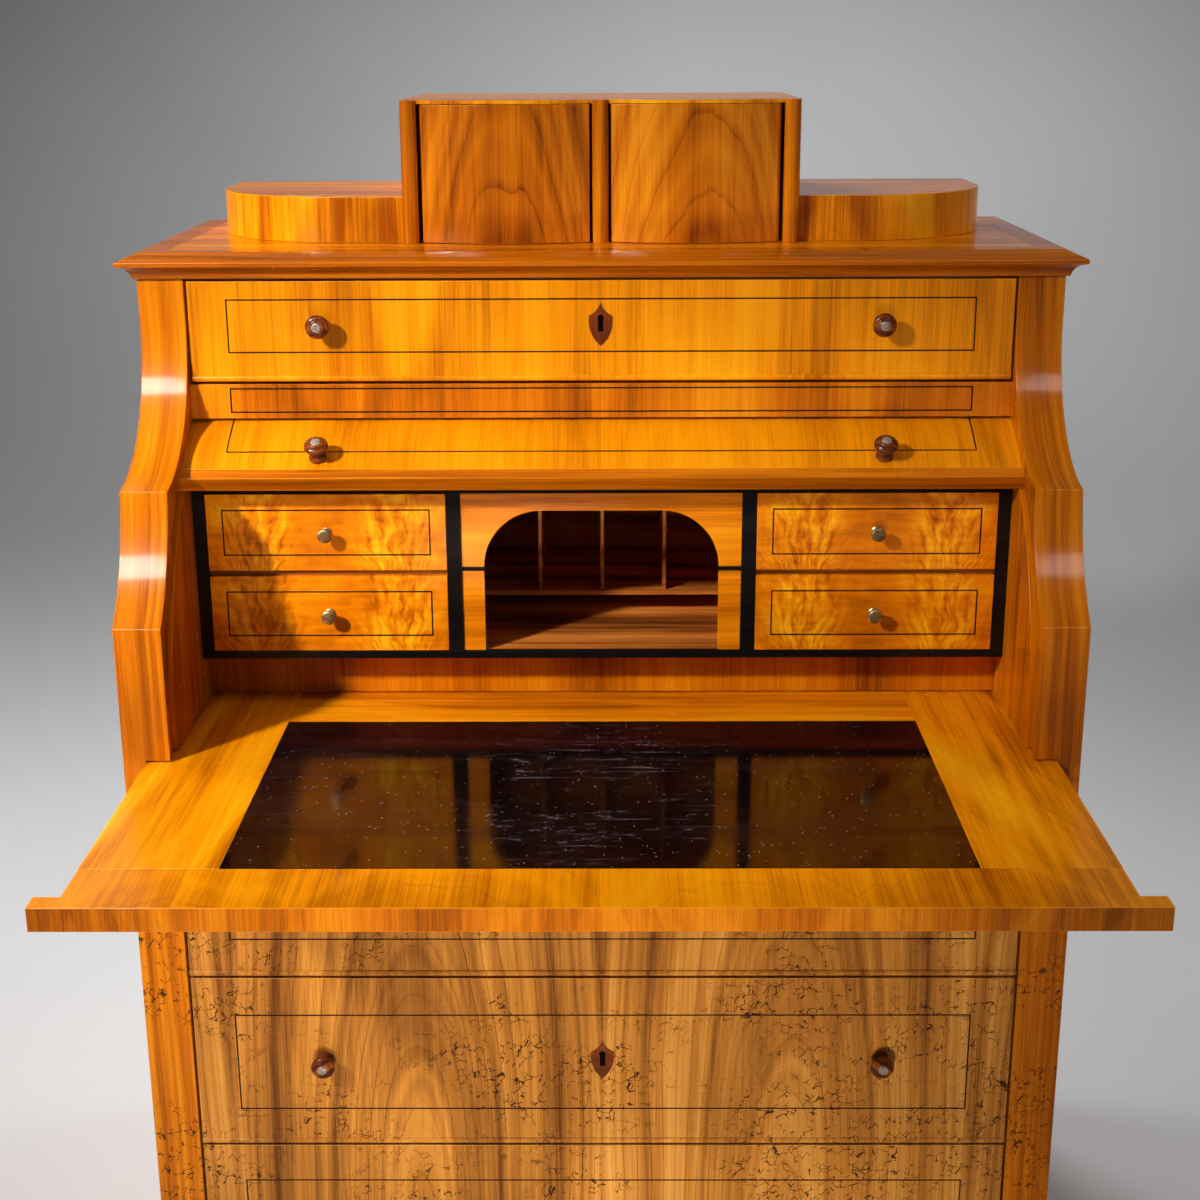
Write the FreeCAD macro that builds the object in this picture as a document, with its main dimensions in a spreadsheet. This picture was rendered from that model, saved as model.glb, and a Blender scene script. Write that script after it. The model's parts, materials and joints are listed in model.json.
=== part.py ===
import FreeCAD, Part
import math
import os
import re
import Sketcher

# Cylinder bureau in cherry: a chest of three drawers, a pull-out writing board, a cylinder flap
# that runs in curved grooves behind shaped stiles, an inner nest of small drawers, one drawer
# above the flap, and a stepped top with a little two-door cabinet.
# Millimetres. +X is the user's right, +Y goes from the front to the back, +Z is up.
# The origin is on the floor, in the middle of the space taken with the writing board pulled out.

SIZES = {
    # carcase
    "case_width": 1000,
    "case_depth": 590,
    "side_thickness": 24,
    "cheek_thickness": 26,
    "post_depth": 45,
    "back_thickness": 12,
    "foot_height": 64,
    "foot_size": 48,
    "foot_toe": 36,
    "base_height": 28,
    "bottom_thickness": 15,
    # chest drawers
    "drawer_pitch": 208,
    "drawer_gap": 3,
    "front_thickness": 22,
    "bead_height": 7,
    "bead_proud": 2.5,
    "bearer_height": 17,
    "rail_depth": 60,
    "runner_width": 40,
    "guide_height": 20,
    "tray_wall": 10,
    "tray_floor": 7,
    "tray_headroom": 5,
    "tray_back_gap": 12,
    "slide_clearance": 0.3,
    # writing board
    "board_thickness": 23.4,
    "board_end_gap": 14,
    "board_tail": 21,
    "board_side_rail": 129,
    "board_front_rail": 80,
    "board_panel_depth": 377,
    "ear_depth": 23,
    # shaped sides, heights above the writing board
    "waist_setback": 70,
    "upper_setback": 205,
    "break_low": 146,
    "break_high": 274,
    "cove_drop": 49,
    "lower_cove_radius": 200,
    "cheek_clearance": 1.5,
    # cylinder flap
    "flap_setback": 10,
    "tail_room": 41,
    "roll_thickness": 21,
    "roll_axis_height": 28,
    "roll_open_angle": 51.3,
    "roll_span": 81,
    "roll_clearance": 0.5,
    "groove_depth": 10,
    "groove_run_out": 14,
    "groove_end": 1,
    "lip_angle": 2.4,
    "flap_knob_angle": 5.4,
    # top drawer and frieze
    "top_drawer_height": 109,
    "top_drawer_knob": 62,
    "frieze_thickness": 20,
    "frieze_clearance": 4.8,
    "dust_thickness": 14,
    "dust_clearance": 8,
    # inner nest
    "nest_setback": 173,
    "nest_roll_clearance": 8,
    "nest_corner_angle": 51.6,
    "nest_clearance": 0.3,
    "nest_strip": 6,
    "nest_wall": 14,
    "nest_floor": 9,
    "nest_roof": 6,
    "nest_back": 8,
    "nest_shelf": 6,
    "bay_half": 155,
    "bay_wall": 16,
    "small_front": 12,
    "small_back_room": 82,
    "small_wall": 6,
    "small_tray_floor": 4,
    "riser_height": 56,
    "riser_setback": 214,
    "riser_thickness": 15,
    "arch_half": 130,
    "arch_shoulder": 64,
    "arch_crown": 20,
    "arch_thickness": 8,
    "arch_recess": 2,
    "capital_height": 4,
    "capital_proud": 2,
    "letter_setback": 137,
    "letter_shelf_height": 29,
    "letter_shelf": 5,
    "letter_wall": 4,
    "letter_pitch": 73.5,
    # cornice and stepped top
    "cornice_height": 28,
    "cornice_reach": 19.3,
    "cornice_foot": 4,
    "cornice_cove": 14,
    "cornice_cove_radius": 16,
    "cornice_tip": 5,
    "cornice_bevel": 22,
    "cornice_inset": 30,
    "top_thickness": 18,
    "step_depth": 250,
    "step_half": 447,
    "step_radius": 160,
    "step_height": 50,
    "step_back_gap": 40,
    "cabinet_half": 220,
    "cabinet_height": 154,
    "cabinet_depth": 267,
    "cabinet_wall": 11,
    "cabinet_roof": 4,
    "column_radius": 9,
    "column_flat": 5,
    "door_thickness": 14,
    "door_bow": 18,
    "door_recess": 7,
    "door_gap": 3,
    "door_play": 0.6,
    "pin_radius": 2.5,
    "pin_length": 2.5,
    "pin_play": 0.2,
    # fittings
    "knob_place": 305,
    "knob_radius": 13,
    "knob_length": 27,
    "knob_neck": 6.2,
    "knob_base": 9.5,
    "knob_hollow": 9.8,
    "small_knob_radius": 8,
    "small_knob_length": 18,
    "small_knob_neck": 3.6,
    "small_knob_base": 6,
    "small_knob_hollow": 6,
    "plate_half": 12.5,
    "plate_height": 48,
    "plate_shoulder": 15,
    "plate_cusp": 22,
    "plate_flank": 36,
    "plate_thickness": 0.8,
    "keyhole_radius": 3.6,
    "keyhole_rise": 6.5,
    "keyhole_slot": 2.9,
    "keyhole_drop": 8.3,
}

DRAWER_COUNT = 3
SIDES = (("left", -1), ("right", 1))
# A round edge's radius over half its thickness: a hair more, as arcs here stay under a half circle.
ROUND_EDGE = 1.0001

doc = FreeCAD.newDocument("cylinder_bureau")
sheet = doc.addObject("Spreadsheet::Sheet", "Sizes")
for row, (alias, size) in enumerate(SIZES.items(), start=1):
    sheet.set(f"A{row}", alias)
    sheet.set(f"B{row}", str(size))
    sheet.setAlias(f"B{row}", alias)
doc.recompute()

WORD = re.compile(r"\b(" + "|".join(sorted(SIZES, key=len, reverse=True)) + r")\b")
nodes = []


def full(formula):
    """The formula with each size written as a cell of the sheet."""
    return WORD.sub(r"Sizes.\1", str(formula))


def value(formula):
    """The formula worked out, in millimetres or degrees."""
    return float(sheet.evalExpression(full(formula)))


# Places that several pieces share, as formulas of the sizes.
HALF = "(case_width / 2)"
SIDE_IN = f"({HALF} - side_thickness)"
INNER = f"({SIDE_IN} - cheek_thickness)"
RISER_END = "(riser_setback + riser_thickness)"
BOARD_RUN = "(case_depth - back_thickness - board_end_gap + ear_depth)"
BOARD_PULL = f"({BOARD_RUN} - {RISER_END} - board_tail)"
FRONT = f"(({BOARD_PULL} - case_depth) / 2)"
BACK = f"({FRONT} + case_depth - back_thickness)"
REAR_POST = f"({BACK} - post_depth)"
BASE = "(foot_height + base_height)"
BEARER_TOP = f"({BASE} + {DRAWER_COUNT} * drawer_pitch + bearer_height)"
BOARD_LOW = f"({BEARER_TOP} + slide_clearance)"
BOARD_TOP = f"({BOARD_LOW} + board_thickness)"
UPPER = f"({FRONT} + upper_setback)"
ROLL_TAIL = "cos(180 - roll_open_angle - roll_span)"
ROLL_RUN = "(case_depth - back_thickness - tail_room - flap_setback)"
ROLL_RADIUS = f"({ROLL_RUN} / (1 + {ROLL_TAIL}))"
ROLL_Y = f"({FRONT} + flap_setback + {ROLL_RADIUS})"
ROLL_Z = f"({BOARD_TOP} + roll_axis_height)"
ROLL_IN = f"({ROLL_RADIUS} - roll_thickness)"
TOP_DRAWER_Z = f"({ROLL_Z} + {ROLL_RADIUS} + dust_clearance + dust_thickness)"
TOP = f"({TOP_DRAWER_Z} + top_drawer_height + drawer_gap)"
COVE_TOP = f"({TOP} - cove_drop)"
FRIEZE_TOP = f"({TOP_DRAWER_Z} - drawer_gap)"
NEST_Y = f"({FRONT} + nest_setback)"
NEST_Z = f"({BOARD_TOP} + riser_height)"
NEST_REACH = f"({ROLL_IN} - nest_roll_clearance)"
NEST_TOP = f"({ROLL_Z} + {NEST_REACH} * sin(nest_corner_angle))"
NEST_END = f"({ROLL_Y} + {NEST_REACH} * cos(nest_corner_angle))"
NEST_FLOOR = f"({NEST_Z} + nest_floor)"
NEST_CEILING = f"({NEST_TOP} - nest_roof)"
ROW_HEIGHT = f"(({NEST_CEILING} - {NEST_FLOOR} - nest_shelf) / 2)"
NEST_HALF = f"({INNER} - nest_clearance)"
ROW_OUT = f"({NEST_HALF} - nest_wall)"
ROW_IN = "(bay_half + bay_wall)"
SPRING = f"({NEST_CEILING} - arch_crown - arch_shoulder)"
LETTER_Y = f"({NEST_Y} + letter_setback)"
LETTER_Z = f"({NEST_FLOOR} + letter_shelf_height)"
CORNICE_TOP = f"({TOP} + cornice_height)"
STEP_BACK = f"({FRONT} + case_depth - step_back_gap)"
STEP_Y = f"({STEP_BACK} - step_depth)"
CABINET_Y = f"({STEP_BACK} - cabinet_depth)"
CABINET_CEILING = f"({CORNICE_TOP} + cabinet_height - cabinet_roof)"
COLUMN_Y = f"({CABINET_Y} + column_radius)"
COLUMN_BACK = f"({COLUMN_Y} + column_flat)"
COLUMN_PLACES = ("column_radius - cabinet_half", "0", "cabinet_half - column_radius")


def node(piece):
    """Keep an object as a named piece of the part."""
    nodes.append(piece)
    return piece


def board(name, x, y, z):
    """A straight board between two formulas along each axis."""
    piece = doc.addObject("Part::Box", name)
    for side, axis, (low, high) in zip(("Length", "Width", "Height"), "xyz", (x, y, z)):
        piece.setExpression(side, full(f"({high}) - ({low})"))
        piece.setExpression(f"Placement.Base.{axis}", full(low))
    return piece


def group(name, pieces):
    """Like pieces that stay separate solids under one name."""
    piece = doc.addObject("Part::Compound", name)
    piece.Links = pieces
    return node(piece)


def both_sides(name, low, high, y, z):
    """A left and a right board, mirrored across the middle."""
    spans = ((f"-({high})", f"-({low})"), (low, high))
    return [board(f"{name}_{side}", span, y, z) for (side, way), span in zip(SIDES, spans)]


def drilled(name, piece, holes):
    """A board with round holes through it: each hole is x, y, low z, high z and radius."""
    pins = []
    for number, (x, y, low, high, radius) in enumerate(holes):
        pin = doc.addObject("Part::Cylinder", f"{name}_hole_{number}")
        pin.setExpression("Radius", full(radius))
        pin.setExpression("Height", full(f"({high}) - ({low})"))
        for axis, place in zip("xyz", (x, y, low)):
            pin.setExpression(f"Placement.Base.{axis}", full(place))
        pins.append(pin)
    tools = doc.addObject("Part::Compound", f"{name}_holes")
    tools.Links = pins
    cut = doc.addObject("Part::Cut", name)
    cut.Base = piece
    cut.Tool = tools
    return cut


def start_sketch(body, plane, offset):
    """An empty sketch on one of the body's own origin planes, moved along its normal."""
    sketch = body.newObject("Sketcher::SketchObject", f"{body.Name}_sketch")
    feature = next(f for f in body.Origin.OriginFeatures if f.Role == plane)
    sketch.AttachmentSupport = [(feature, "")]
    sketch.MapMode = "FlatFace"
    sketch.setExpression("AttachmentOffset.Base.z", full(offset))
    return sketch


def arc_between(start, end, radius):
    """An arc under a half circle; a positive radius turns left from start to end."""
    chord = end - start
    reach = math.sqrt(max(radius * radius - chord.Length ** 2 / 4, 0))
    left = FreeCAD.Vector(-chord.y, chord.x, 0).normalize()
    turn = 1 if radius > 0 else -1
    centre = (start + end) / 2 + left * (reach * turn)
    circle = Part.Circle(centre, FreeCAD.Vector(0, 0, 1), abs(radius))
    first, last = (start, end) if turn > 0 else (end, start)
    angles = [math.atan2(p.y - centre.y, p.x - centre.x) for p in (first, last)]
    return Part.ArcOfCircle(circle, *angles)


def outline(body, plane, corners, offset="0"):
    """A closed outline. A corner is (across, up) or (across, up, radius of the edge it starts)."""
    sketch = start_sketch(body, plane, offset)
    points = [FreeCAD.Vector(value(c[0]), value(c[1]), 0) for c in corners]
    ends = []
    for index, corner in enumerate(corners):
        here, there = points[index], points[(index + 1) % len(points)]
        if len(corner) == 2:
            edge = sketch.addGeometry(Part.LineSegment(here, there), False)
            ends.append((edge, 1, 2))
        else:
            radius = value(corner[2])
            edge = sketch.addGeometry(arc_between(here, there, radius), False)
            ends.append((edge, 1, 2) if radius > 0 else (edge, 2, 1))
    for index, corner in enumerate(corners):
        edge, first, last = ends[index]
        follower, its_first, its_last = ends[(index + 1) % len(ends)]
        sketch.addConstraint(Sketcher.Constraint("Coincident", edge, last, follower, its_first))
        for kind, formula, size in (
            ("DistanceX", corner[0], points[index].x),
            ("DistanceY", corner[1], points[index].y),
        ):
            rule = sketch.addConstraint(Sketcher.Constraint(kind, -1, 1, edge, first, size))
            sketch.setExpression(f"Constraints[{rule}]", full(formula))
        if len(corner) == 3:
            size = abs(value(corner[2]))
            rule = sketch.addConstraint(Sketcher.Constraint("Radius", edge, size))
            sketch.setExpression(f"Constraints[{rule}]", full(f"abs({corner[2]})"))
    return sketch


def disc(body, plane, across, up, radius, offset="0"):
    """A sketch of one circle."""
    sketch = start_sketch(body, plane, offset)
    centre = FreeCAD.Vector(value(across), value(up), 0)
    circle = Part.Circle(centre, FreeCAD.Vector(0, 0, 1), value(radius))
    edge = sketch.addGeometry(circle, False)
    rules = (
        (Sketcher.Constraint("DistanceX", -1, 1, edge, 3, centre.x), across),
        (Sketcher.Constraint("DistanceY", -1, 1, edge, 3, centre.y), up),
        (Sketcher.Constraint("Radius", edge, value(radius)), radius),
    )
    for constraint, formula in rules:
        rule = sketch.addConstraint(constraint)
        sketch.setExpression(f"Constraints[{rule}]", full(formula))
    return sketch


def new_body(name):
    return doc.addObject("PartDesign::Body", name)


def pad(body, sketch, length, backwards=False):
    """Raise a sketch into the body."""
    feature = body.newObject("PartDesign::Pad", f"{body.Name}_pad")
    feature.Profile = sketch
    feature.setExpression("Length", full(length))
    feature.Reversed = backwards
    return feature


def pocket(body, sketch, depth, backwards=False):
    """Cut a sketch out of the body."""
    feature = body.newObject("PartDesign::Pocket", f"{body.Name}_pocket")
    feature.Profile = sketch
    feature.setExpression("Length", full(depth))
    feature.Reversed = backwards
    return feature


def place(piece, x, y, z):
    """Tie a piece's own origin to a place in the part."""
    for axis, formula in zip("xyz", (x, y, z)):
        piece.setExpression(f"Placement.Base.{axis}", full(formula))


def side_profile(low):
    """The shaped side seen from the right: two coves between the chest and the cornice."""
    cove_run = "(upper_setback - waist_setback)"
    cove_rise = f"({COVE_TOP} - {BOARD_TOP} - break_high)"
    upper_radius = f"({cove_run} * {cove_run} + {cove_rise} * {cove_rise}) / (2 * {cove_run})"
    return [
        (FRONT, low),
        (FRONT, f"{BOARD_TOP} + break_low", "lower_cove_radius"),
        (f"{FRONT} + waist_setback", f"{BOARD_TOP} + break_high", upper_radius),
        (UPPER, COVE_TOP),
        (UPPER, TOP),
        (BACK, TOP),
        (BACK, low),
    ]


def roll_sector(outer, inner, first, last):
    """A slice of the flap's ring between two angles above straight ahead."""
    def at(radius, angle):
        return (f"{ROLL_Y} - ({radius}) * cos({angle})", f"{ROLL_Z} + ({radius}) * sin({angle})")

    return [
        at(inner, first),
        at(outer, first) + (f"-({outer})",),
        at(outer, last),
        at(inner, last) + (inner,),
    ]


def make_sides():
    """Outer sides with the shaped front, and the cheeks inside them with the flap's grooves."""
    for name, way in SIDES:
        side = new_body(f"side_{name}")
        left_face = SIDE_IN if way > 0 else f"-{HALF}"
        pad(side, outline(side, "YZ_Plane", side_profile("foot_height"), left_face), "side_thickness")
        node(side)
        cheek = new_body(f"cheek_{name}")
        left_face = INNER if way > 0 else f"-{SIDE_IN}"
        low = f"{BOARD_TOP} + cheek_clearance"
        pad(cheek, outline(cheek, "YZ_Plane", side_profile(low), left_face), "cheek_thickness")
        groove = roll_sector(
            f"{ROLL_RADIUS} + roll_clearance",
            f"{ROLL_IN} - roll_clearance",
            "-groove_run_out",
            "roll_open_angle + roll_span + groove_end",
        )
        inner_face = INNER if way > 0 else f"-{INNER}"
        pocket(cheek, outline(cheek, "YZ_Plane", groove, inner_face), "groove_depth", way > 0)
        node(cheek)


def make_chest():
    """Feet, base, posts, bearers and back of the lower case."""
    feet = []
    for name, way in SIDES:
        for end, y in (("front", f"{FRONT} + foot_size / 2"), ("rear", f"{BACK} - foot_size / 2")):
            foot = doc.addObject("Part::Wedge", f"foot_{end}_{name}")
            for low, high, size in (
                ("Xmin", "Xmax", "foot_toe"),
                ("Zmin", "Zmax", "foot_toe"),
                ("X2min", "X2max", "foot_size"),
                ("Z2min", "Z2max", "foot_size"),
            ):
                foot.setExpression(low, full(f"-{size} / 2"))
                foot.setExpression(high, full(f"{size} / 2"))
            foot.Ymin = 0
            foot.setExpression("Ymax", full("foot_height"))
            upright = FreeCAD.Rotation(FreeCAD.Vector(1, 0, 0), 90)
            foot.Placement = FreeCAD.Placement(FreeCAD.Vector(), upright)
            place(foot, f"{way} * ({HALF} - foot_size / 2)", y, "0")
            feet.append(foot)
    group("feet", feet)
    floor_low = f"{BASE} - bottom_thickness"
    rail_back = f"{FRONT} + front_thickness"
    group("base", [
        board("base_rail", (f"-{INNER}", INNER), (FRONT, rail_back), ("foot_height", BASE)),
        board("bottom_board", (f"-{INNER}", INNER), (rail_back, BACK), (floor_low, BASE)),
    ])
    upright = ("foot_height", BEARER_TOP)
    front_depth = (FRONT, f"{FRONT} + post_depth")
    group(
        "corner_posts",
        both_sides("front_post", INNER, SIDE_IN, front_depth, upright)
        + both_sides("rear_post", INNER, SIDE_IN, (REAR_POST, BACK), upright),
    )
    bearers = []
    run = (f"{FRONT} + post_depth", REAR_POST)
    for level in range(DRAWER_COUNT + 1):
        above = level == DRAWER_COUNT
        high = BEARER_TOP if above else f"{BASE} + {level} * drawer_pitch"
        span = (f"{high} - bearer_height", high)
        inside = INNER if level == 0 else f"{INNER} - runner_width"
        rail_front = FRONT if above else f"{rail_back} + drawer_gap"
        rail = (rail_front, f"{FRONT} + rail_depth")
        inner_run = (f"{FRONT} + rail_depth", BACK)
        bearers += both_sides(f"outer_runner_{level}", INNER, SIDE_IN, run, span)
        if level:
            bearers += both_sides(f"runner_{level}", inside, INNER, inner_run, span)
            bearers.append(board(f"rail_{level}", (f"-{INNER}", INNER), rail, span))
        if not above:
            guide = (high, f"{high} + guide_height")
            bearers += both_sides(f"guide_{level}", INNER, SIDE_IN, run, guide)
    group("drawer_bearers", bearers)
    across = (f"-{HALF}", HALF)
    outside = f"{FRONT} + case_depth"
    node(board("back_panel", across, (BACK, outside), ("foot_height", TOP)))


def knob(name, radius, length, neck, base, hollow):
    """A turned knob pointing to the front: its foot, hollow and dome share the length evenly."""
    body = new_body(name)
    third = f"({length} / 3)"
    dome = f"({third} * {third} + {radius} * {radius}) / (2 * {third})"
    profile = [
        ("0", "0"),
        ("0", base, f"-{length} / 2"),
        (f"-{third}", neck, f"-{hollow}"),
        (f"-2 * {third}", radius, dome),
        (f"-{length}", "0"),
    ]
    sketch = outline(body, "YZ_Plane", profile)
    turned = body.newObject("PartDesign::Revolution", f"{name}_turned")
    turned.Profile = sketch
    turned.ReferenceAxis = (sketch, ["H_Axis"])
    turned.Angle = 360
    return body


def large_knob(name):
    return knob(name, "knob_radius", "knob_length", "knob_neck", "knob_base", "knob_hollow")


def knob_pair(name, y, z):
    """The two wooden knobs of a large drawer."""
    pair = []
    for side, way in SIDES:
        body = large_knob(f"{name}_{side}")
        place(body, f"{way} * knob_place", y, z)
        pair.append(body)
    group(name, pair)


def escutcheon(name, y, z):
    """A keyhole plate on the drawer's face, centred on the given height: a shield with a cusped top."""
    body = new_body(name)
    high = "plate_height / 2"
    shield = [
        ("0", high, "-plate_cusp"),
        ("-plate_half", f"{high} - plate_shoulder", "plate_flank"),
        ("0", f"-{high}", "plate_flank"),
        ("plate_half", f"{high} - plate_shoulder", "-plate_cusp"),
    ]
    pad(body, outline(body, "XZ_Plane", shield), "plate_thickness")
    through = "3 * plate_thickness"
    behind = "-plate_thickness"
    eye = disc(body, "XZ_Plane", "0", "keyhole_rise", "keyhole_radius", behind)
    pocket(body, eye, through, True)
    slot = [
        ("-keyhole_slot", "keyhole_rise"),
        ("-keyhole_slot", "-keyhole_drop"),
        ("keyhole_slot", "-keyhole_drop"),
        ("keyhole_slot", "keyhole_rise"),
    ]
    pocket(body, outline(body, "XZ_Plane", slot, behind), through, True)
    place(body, "0", y, z)
    node(body)


def tray(name, x, y, z, wall, floor):
    """The open box behind a drawer front: two sides, a back and a floor between them."""
    (left, right), (front, back), (low, high) = x, y, z
    inside = (f"{left} + {wall}", f"{right} - {wall}")
    return group(name, [
        board(f"{name}_left", (left, inside[0]), y, z),
        board(f"{name}_right", (inside[1], right), y, z),
        board(f"{name}_back", inside, (f"{back} - {wall}", back), z),
        board(f"{name}_floor", inside, (front, f"{back} - {wall}"), (low, f"{low} + {floor}")),
    ])


def large_drawer(name, face, low, high, tray_span, knob_height):
    """A full-width drawer: veneered front with a bead along its foot, tray, knobs and plate."""
    front = new_body(f"{name}_front")
    back = f"{face} + front_thickness"
    half = f"({INNER} - drawer_gap)"
    half_bead = "bead_height / 2"
    bead_radius = f"({half_bead} * {half_bead} / bead_proud + bead_proud) / 2"
    profile = [
        (back, low),
        (back, high),
        (face, high),
        (face, f"{low} + bead_height", bead_radius),
        (face, low),
    ]
    pad(front, outline(front, "YZ_Plane", profile, f"-{half}"), f"2 * {half}")
    node(front)
    run = (back, f"{BACK} - tray_back_gap")
    tray(f"{name}_tray", (f"-{half}", half), run, tray_span, "tray_wall", "tray_floor")
    knob_pair(f"{name}_knobs", face, knob_height)
    escutcheon(f"{name}_escutcheon", face, knob_height)


def make_drawers():
    """Three chest drawers, counted from the top, and the drawer over the flap."""
    for level in range(DRAWER_COUNT):
        low = f"{BASE} + {level} * drawer_pitch"
        high = f"{low} + drawer_pitch - drawer_gap"
        seat = f"{low} + slide_clearance"
        tray_high = f"{low} + drawer_pitch - bearer_height - tray_headroom"
        middle = f"{low} + (bead_height + drawer_pitch - drawer_gap) / 2"
        large_drawer(f"drawer_{DRAWER_COUNT - level}", FRONT, low, high, (seat, tray_high), middle)
    high = f"{TOP} - drawer_gap"
    seat = f"{TOP_DRAWER_Z} + slide_clearance"
    span = (seat, f"{high} - tray_headroom")
    large_drawer("top_drawer", UPPER, TOP_DRAWER_Z, high, span, f"{TOP_DRAWER_Z} + top_drawer_knob")


def above_roll(y):
    """The height that clears the flap's outer face at a given depth."""
    ahead = f"({ROLL_Y} - ({y}))"
    return f"{ROLL_Z} + sqrt({ROLL_RADIUS} * {ROLL_RADIUS} - {ahead} * {ahead}) + frieze_clearance"


def make_upper_case():
    """The frieze, bevelled below to clear the flap, and the dust board that carries the drawer."""
    frieze_back = f"{UPPER} + frieze_thickness"
    section = [
        (UPPER, above_roll(UPPER)),
        (UPPER, FRIEZE_TOP),
        (frieze_back, FRIEZE_TOP),
        (frieze_back, above_roll(frieze_back)),
    ]
    frieze = new_body("frieze")
    pad(frieze, outline(frieze, "YZ_Plane", section, f"-{INNER}"), f"2 * {INNER}")
    node(frieze)
    height = (f"{TOP_DRAWER_Z} - dust_thickness", TOP_DRAWER_Z)
    node(board("dust_board", (f"-{INNER}", INNER), (frieze_back, BACK), height))


def make_writing_board():
    """A framed writing board: the front rail's ears cover the sides' edges when it is pushed in."""
    half = f"({SIDE_IN} - slide_clearance)"
    panel_half = f"({half} - board_side_rail)"
    front = f"({FRONT} - {BOARD_PULL})"
    joint = f"({front} + board_front_rail)"
    panel_end = f"({joint} + board_panel_depth)"
    end = f"({FRONT} + {RISER_END} + board_tail)"
    rail = new_body("board_front_rail")
    shape = [
        (f"-{HALF}", front),
        (HALF, front),
        (HALF, f"{front} + ear_depth"),
        (half, f"{front} + ear_depth"),
        (half, joint),
        (f"-{half}", joint),
        (f"-{half}", f"{front} + ear_depth"),
        (f"-{HALF}", f"{front} + ear_depth"),
    ]
    pad(rail, outline(rail, "XY_Plane", shape, BOARD_LOW), "board_thickness")
    node(rail)
    height = (BOARD_LOW, BOARD_TOP)
    group("board_side_rails", both_sides("board_side_rail_piece", panel_half, half, (joint, end), height))
    node(board("board_back_rail", (f"-{panel_half}", panel_half), (panel_end, end), height))
    node(board("board_panel", (f"-{panel_half}", panel_half), (joint, panel_end), height))


def make_flap():
    """The rigid cylinder flap, drawn open: its ends run in the cheeks' grooves."""
    half = f"({INNER} + groove_depth - 2 * roll_clearance)"
    lip_end = "(roll_open_angle + lip_angle)"
    for name, first, last in (
        ("flap_shell", lip_end, "(roll_open_angle + roll_span)"),
        ("flap_lip", "roll_open_angle", lip_end),
    ):
        body = new_body(name)
        sector = roll_sector(ROLL_RADIUS, ROLL_IN, first, last)
        pad(body, outline(body, "YZ_Plane", sector, f"-{half}"), f"2 * {half}")
        node(body)
    tilt = "(roll_open_angle + flap_knob_angle)"
    pair = []
    for side, way in SIDES:
        body = large_knob(f"flap_knob_{side}")
        body.Placement = FreeCAD.Placement(
            FreeCAD.Vector(), FreeCAD.Rotation(FreeCAD.Vector(1, 0, 0), 0)
        )
        body.setExpression("Placement.Rotation.Angle", full(f"-{tilt}"))
        y = f"{ROLL_Y} - {ROLL_RADIUS} * cos({tilt})"
        z = f"{ROLL_Z} + {ROLL_RADIUS} * sin({tilt})"
        place(body, f"{way} * knob_place", y, z)
        pair.append(body)
    group("flap_knobs", pair)


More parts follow.
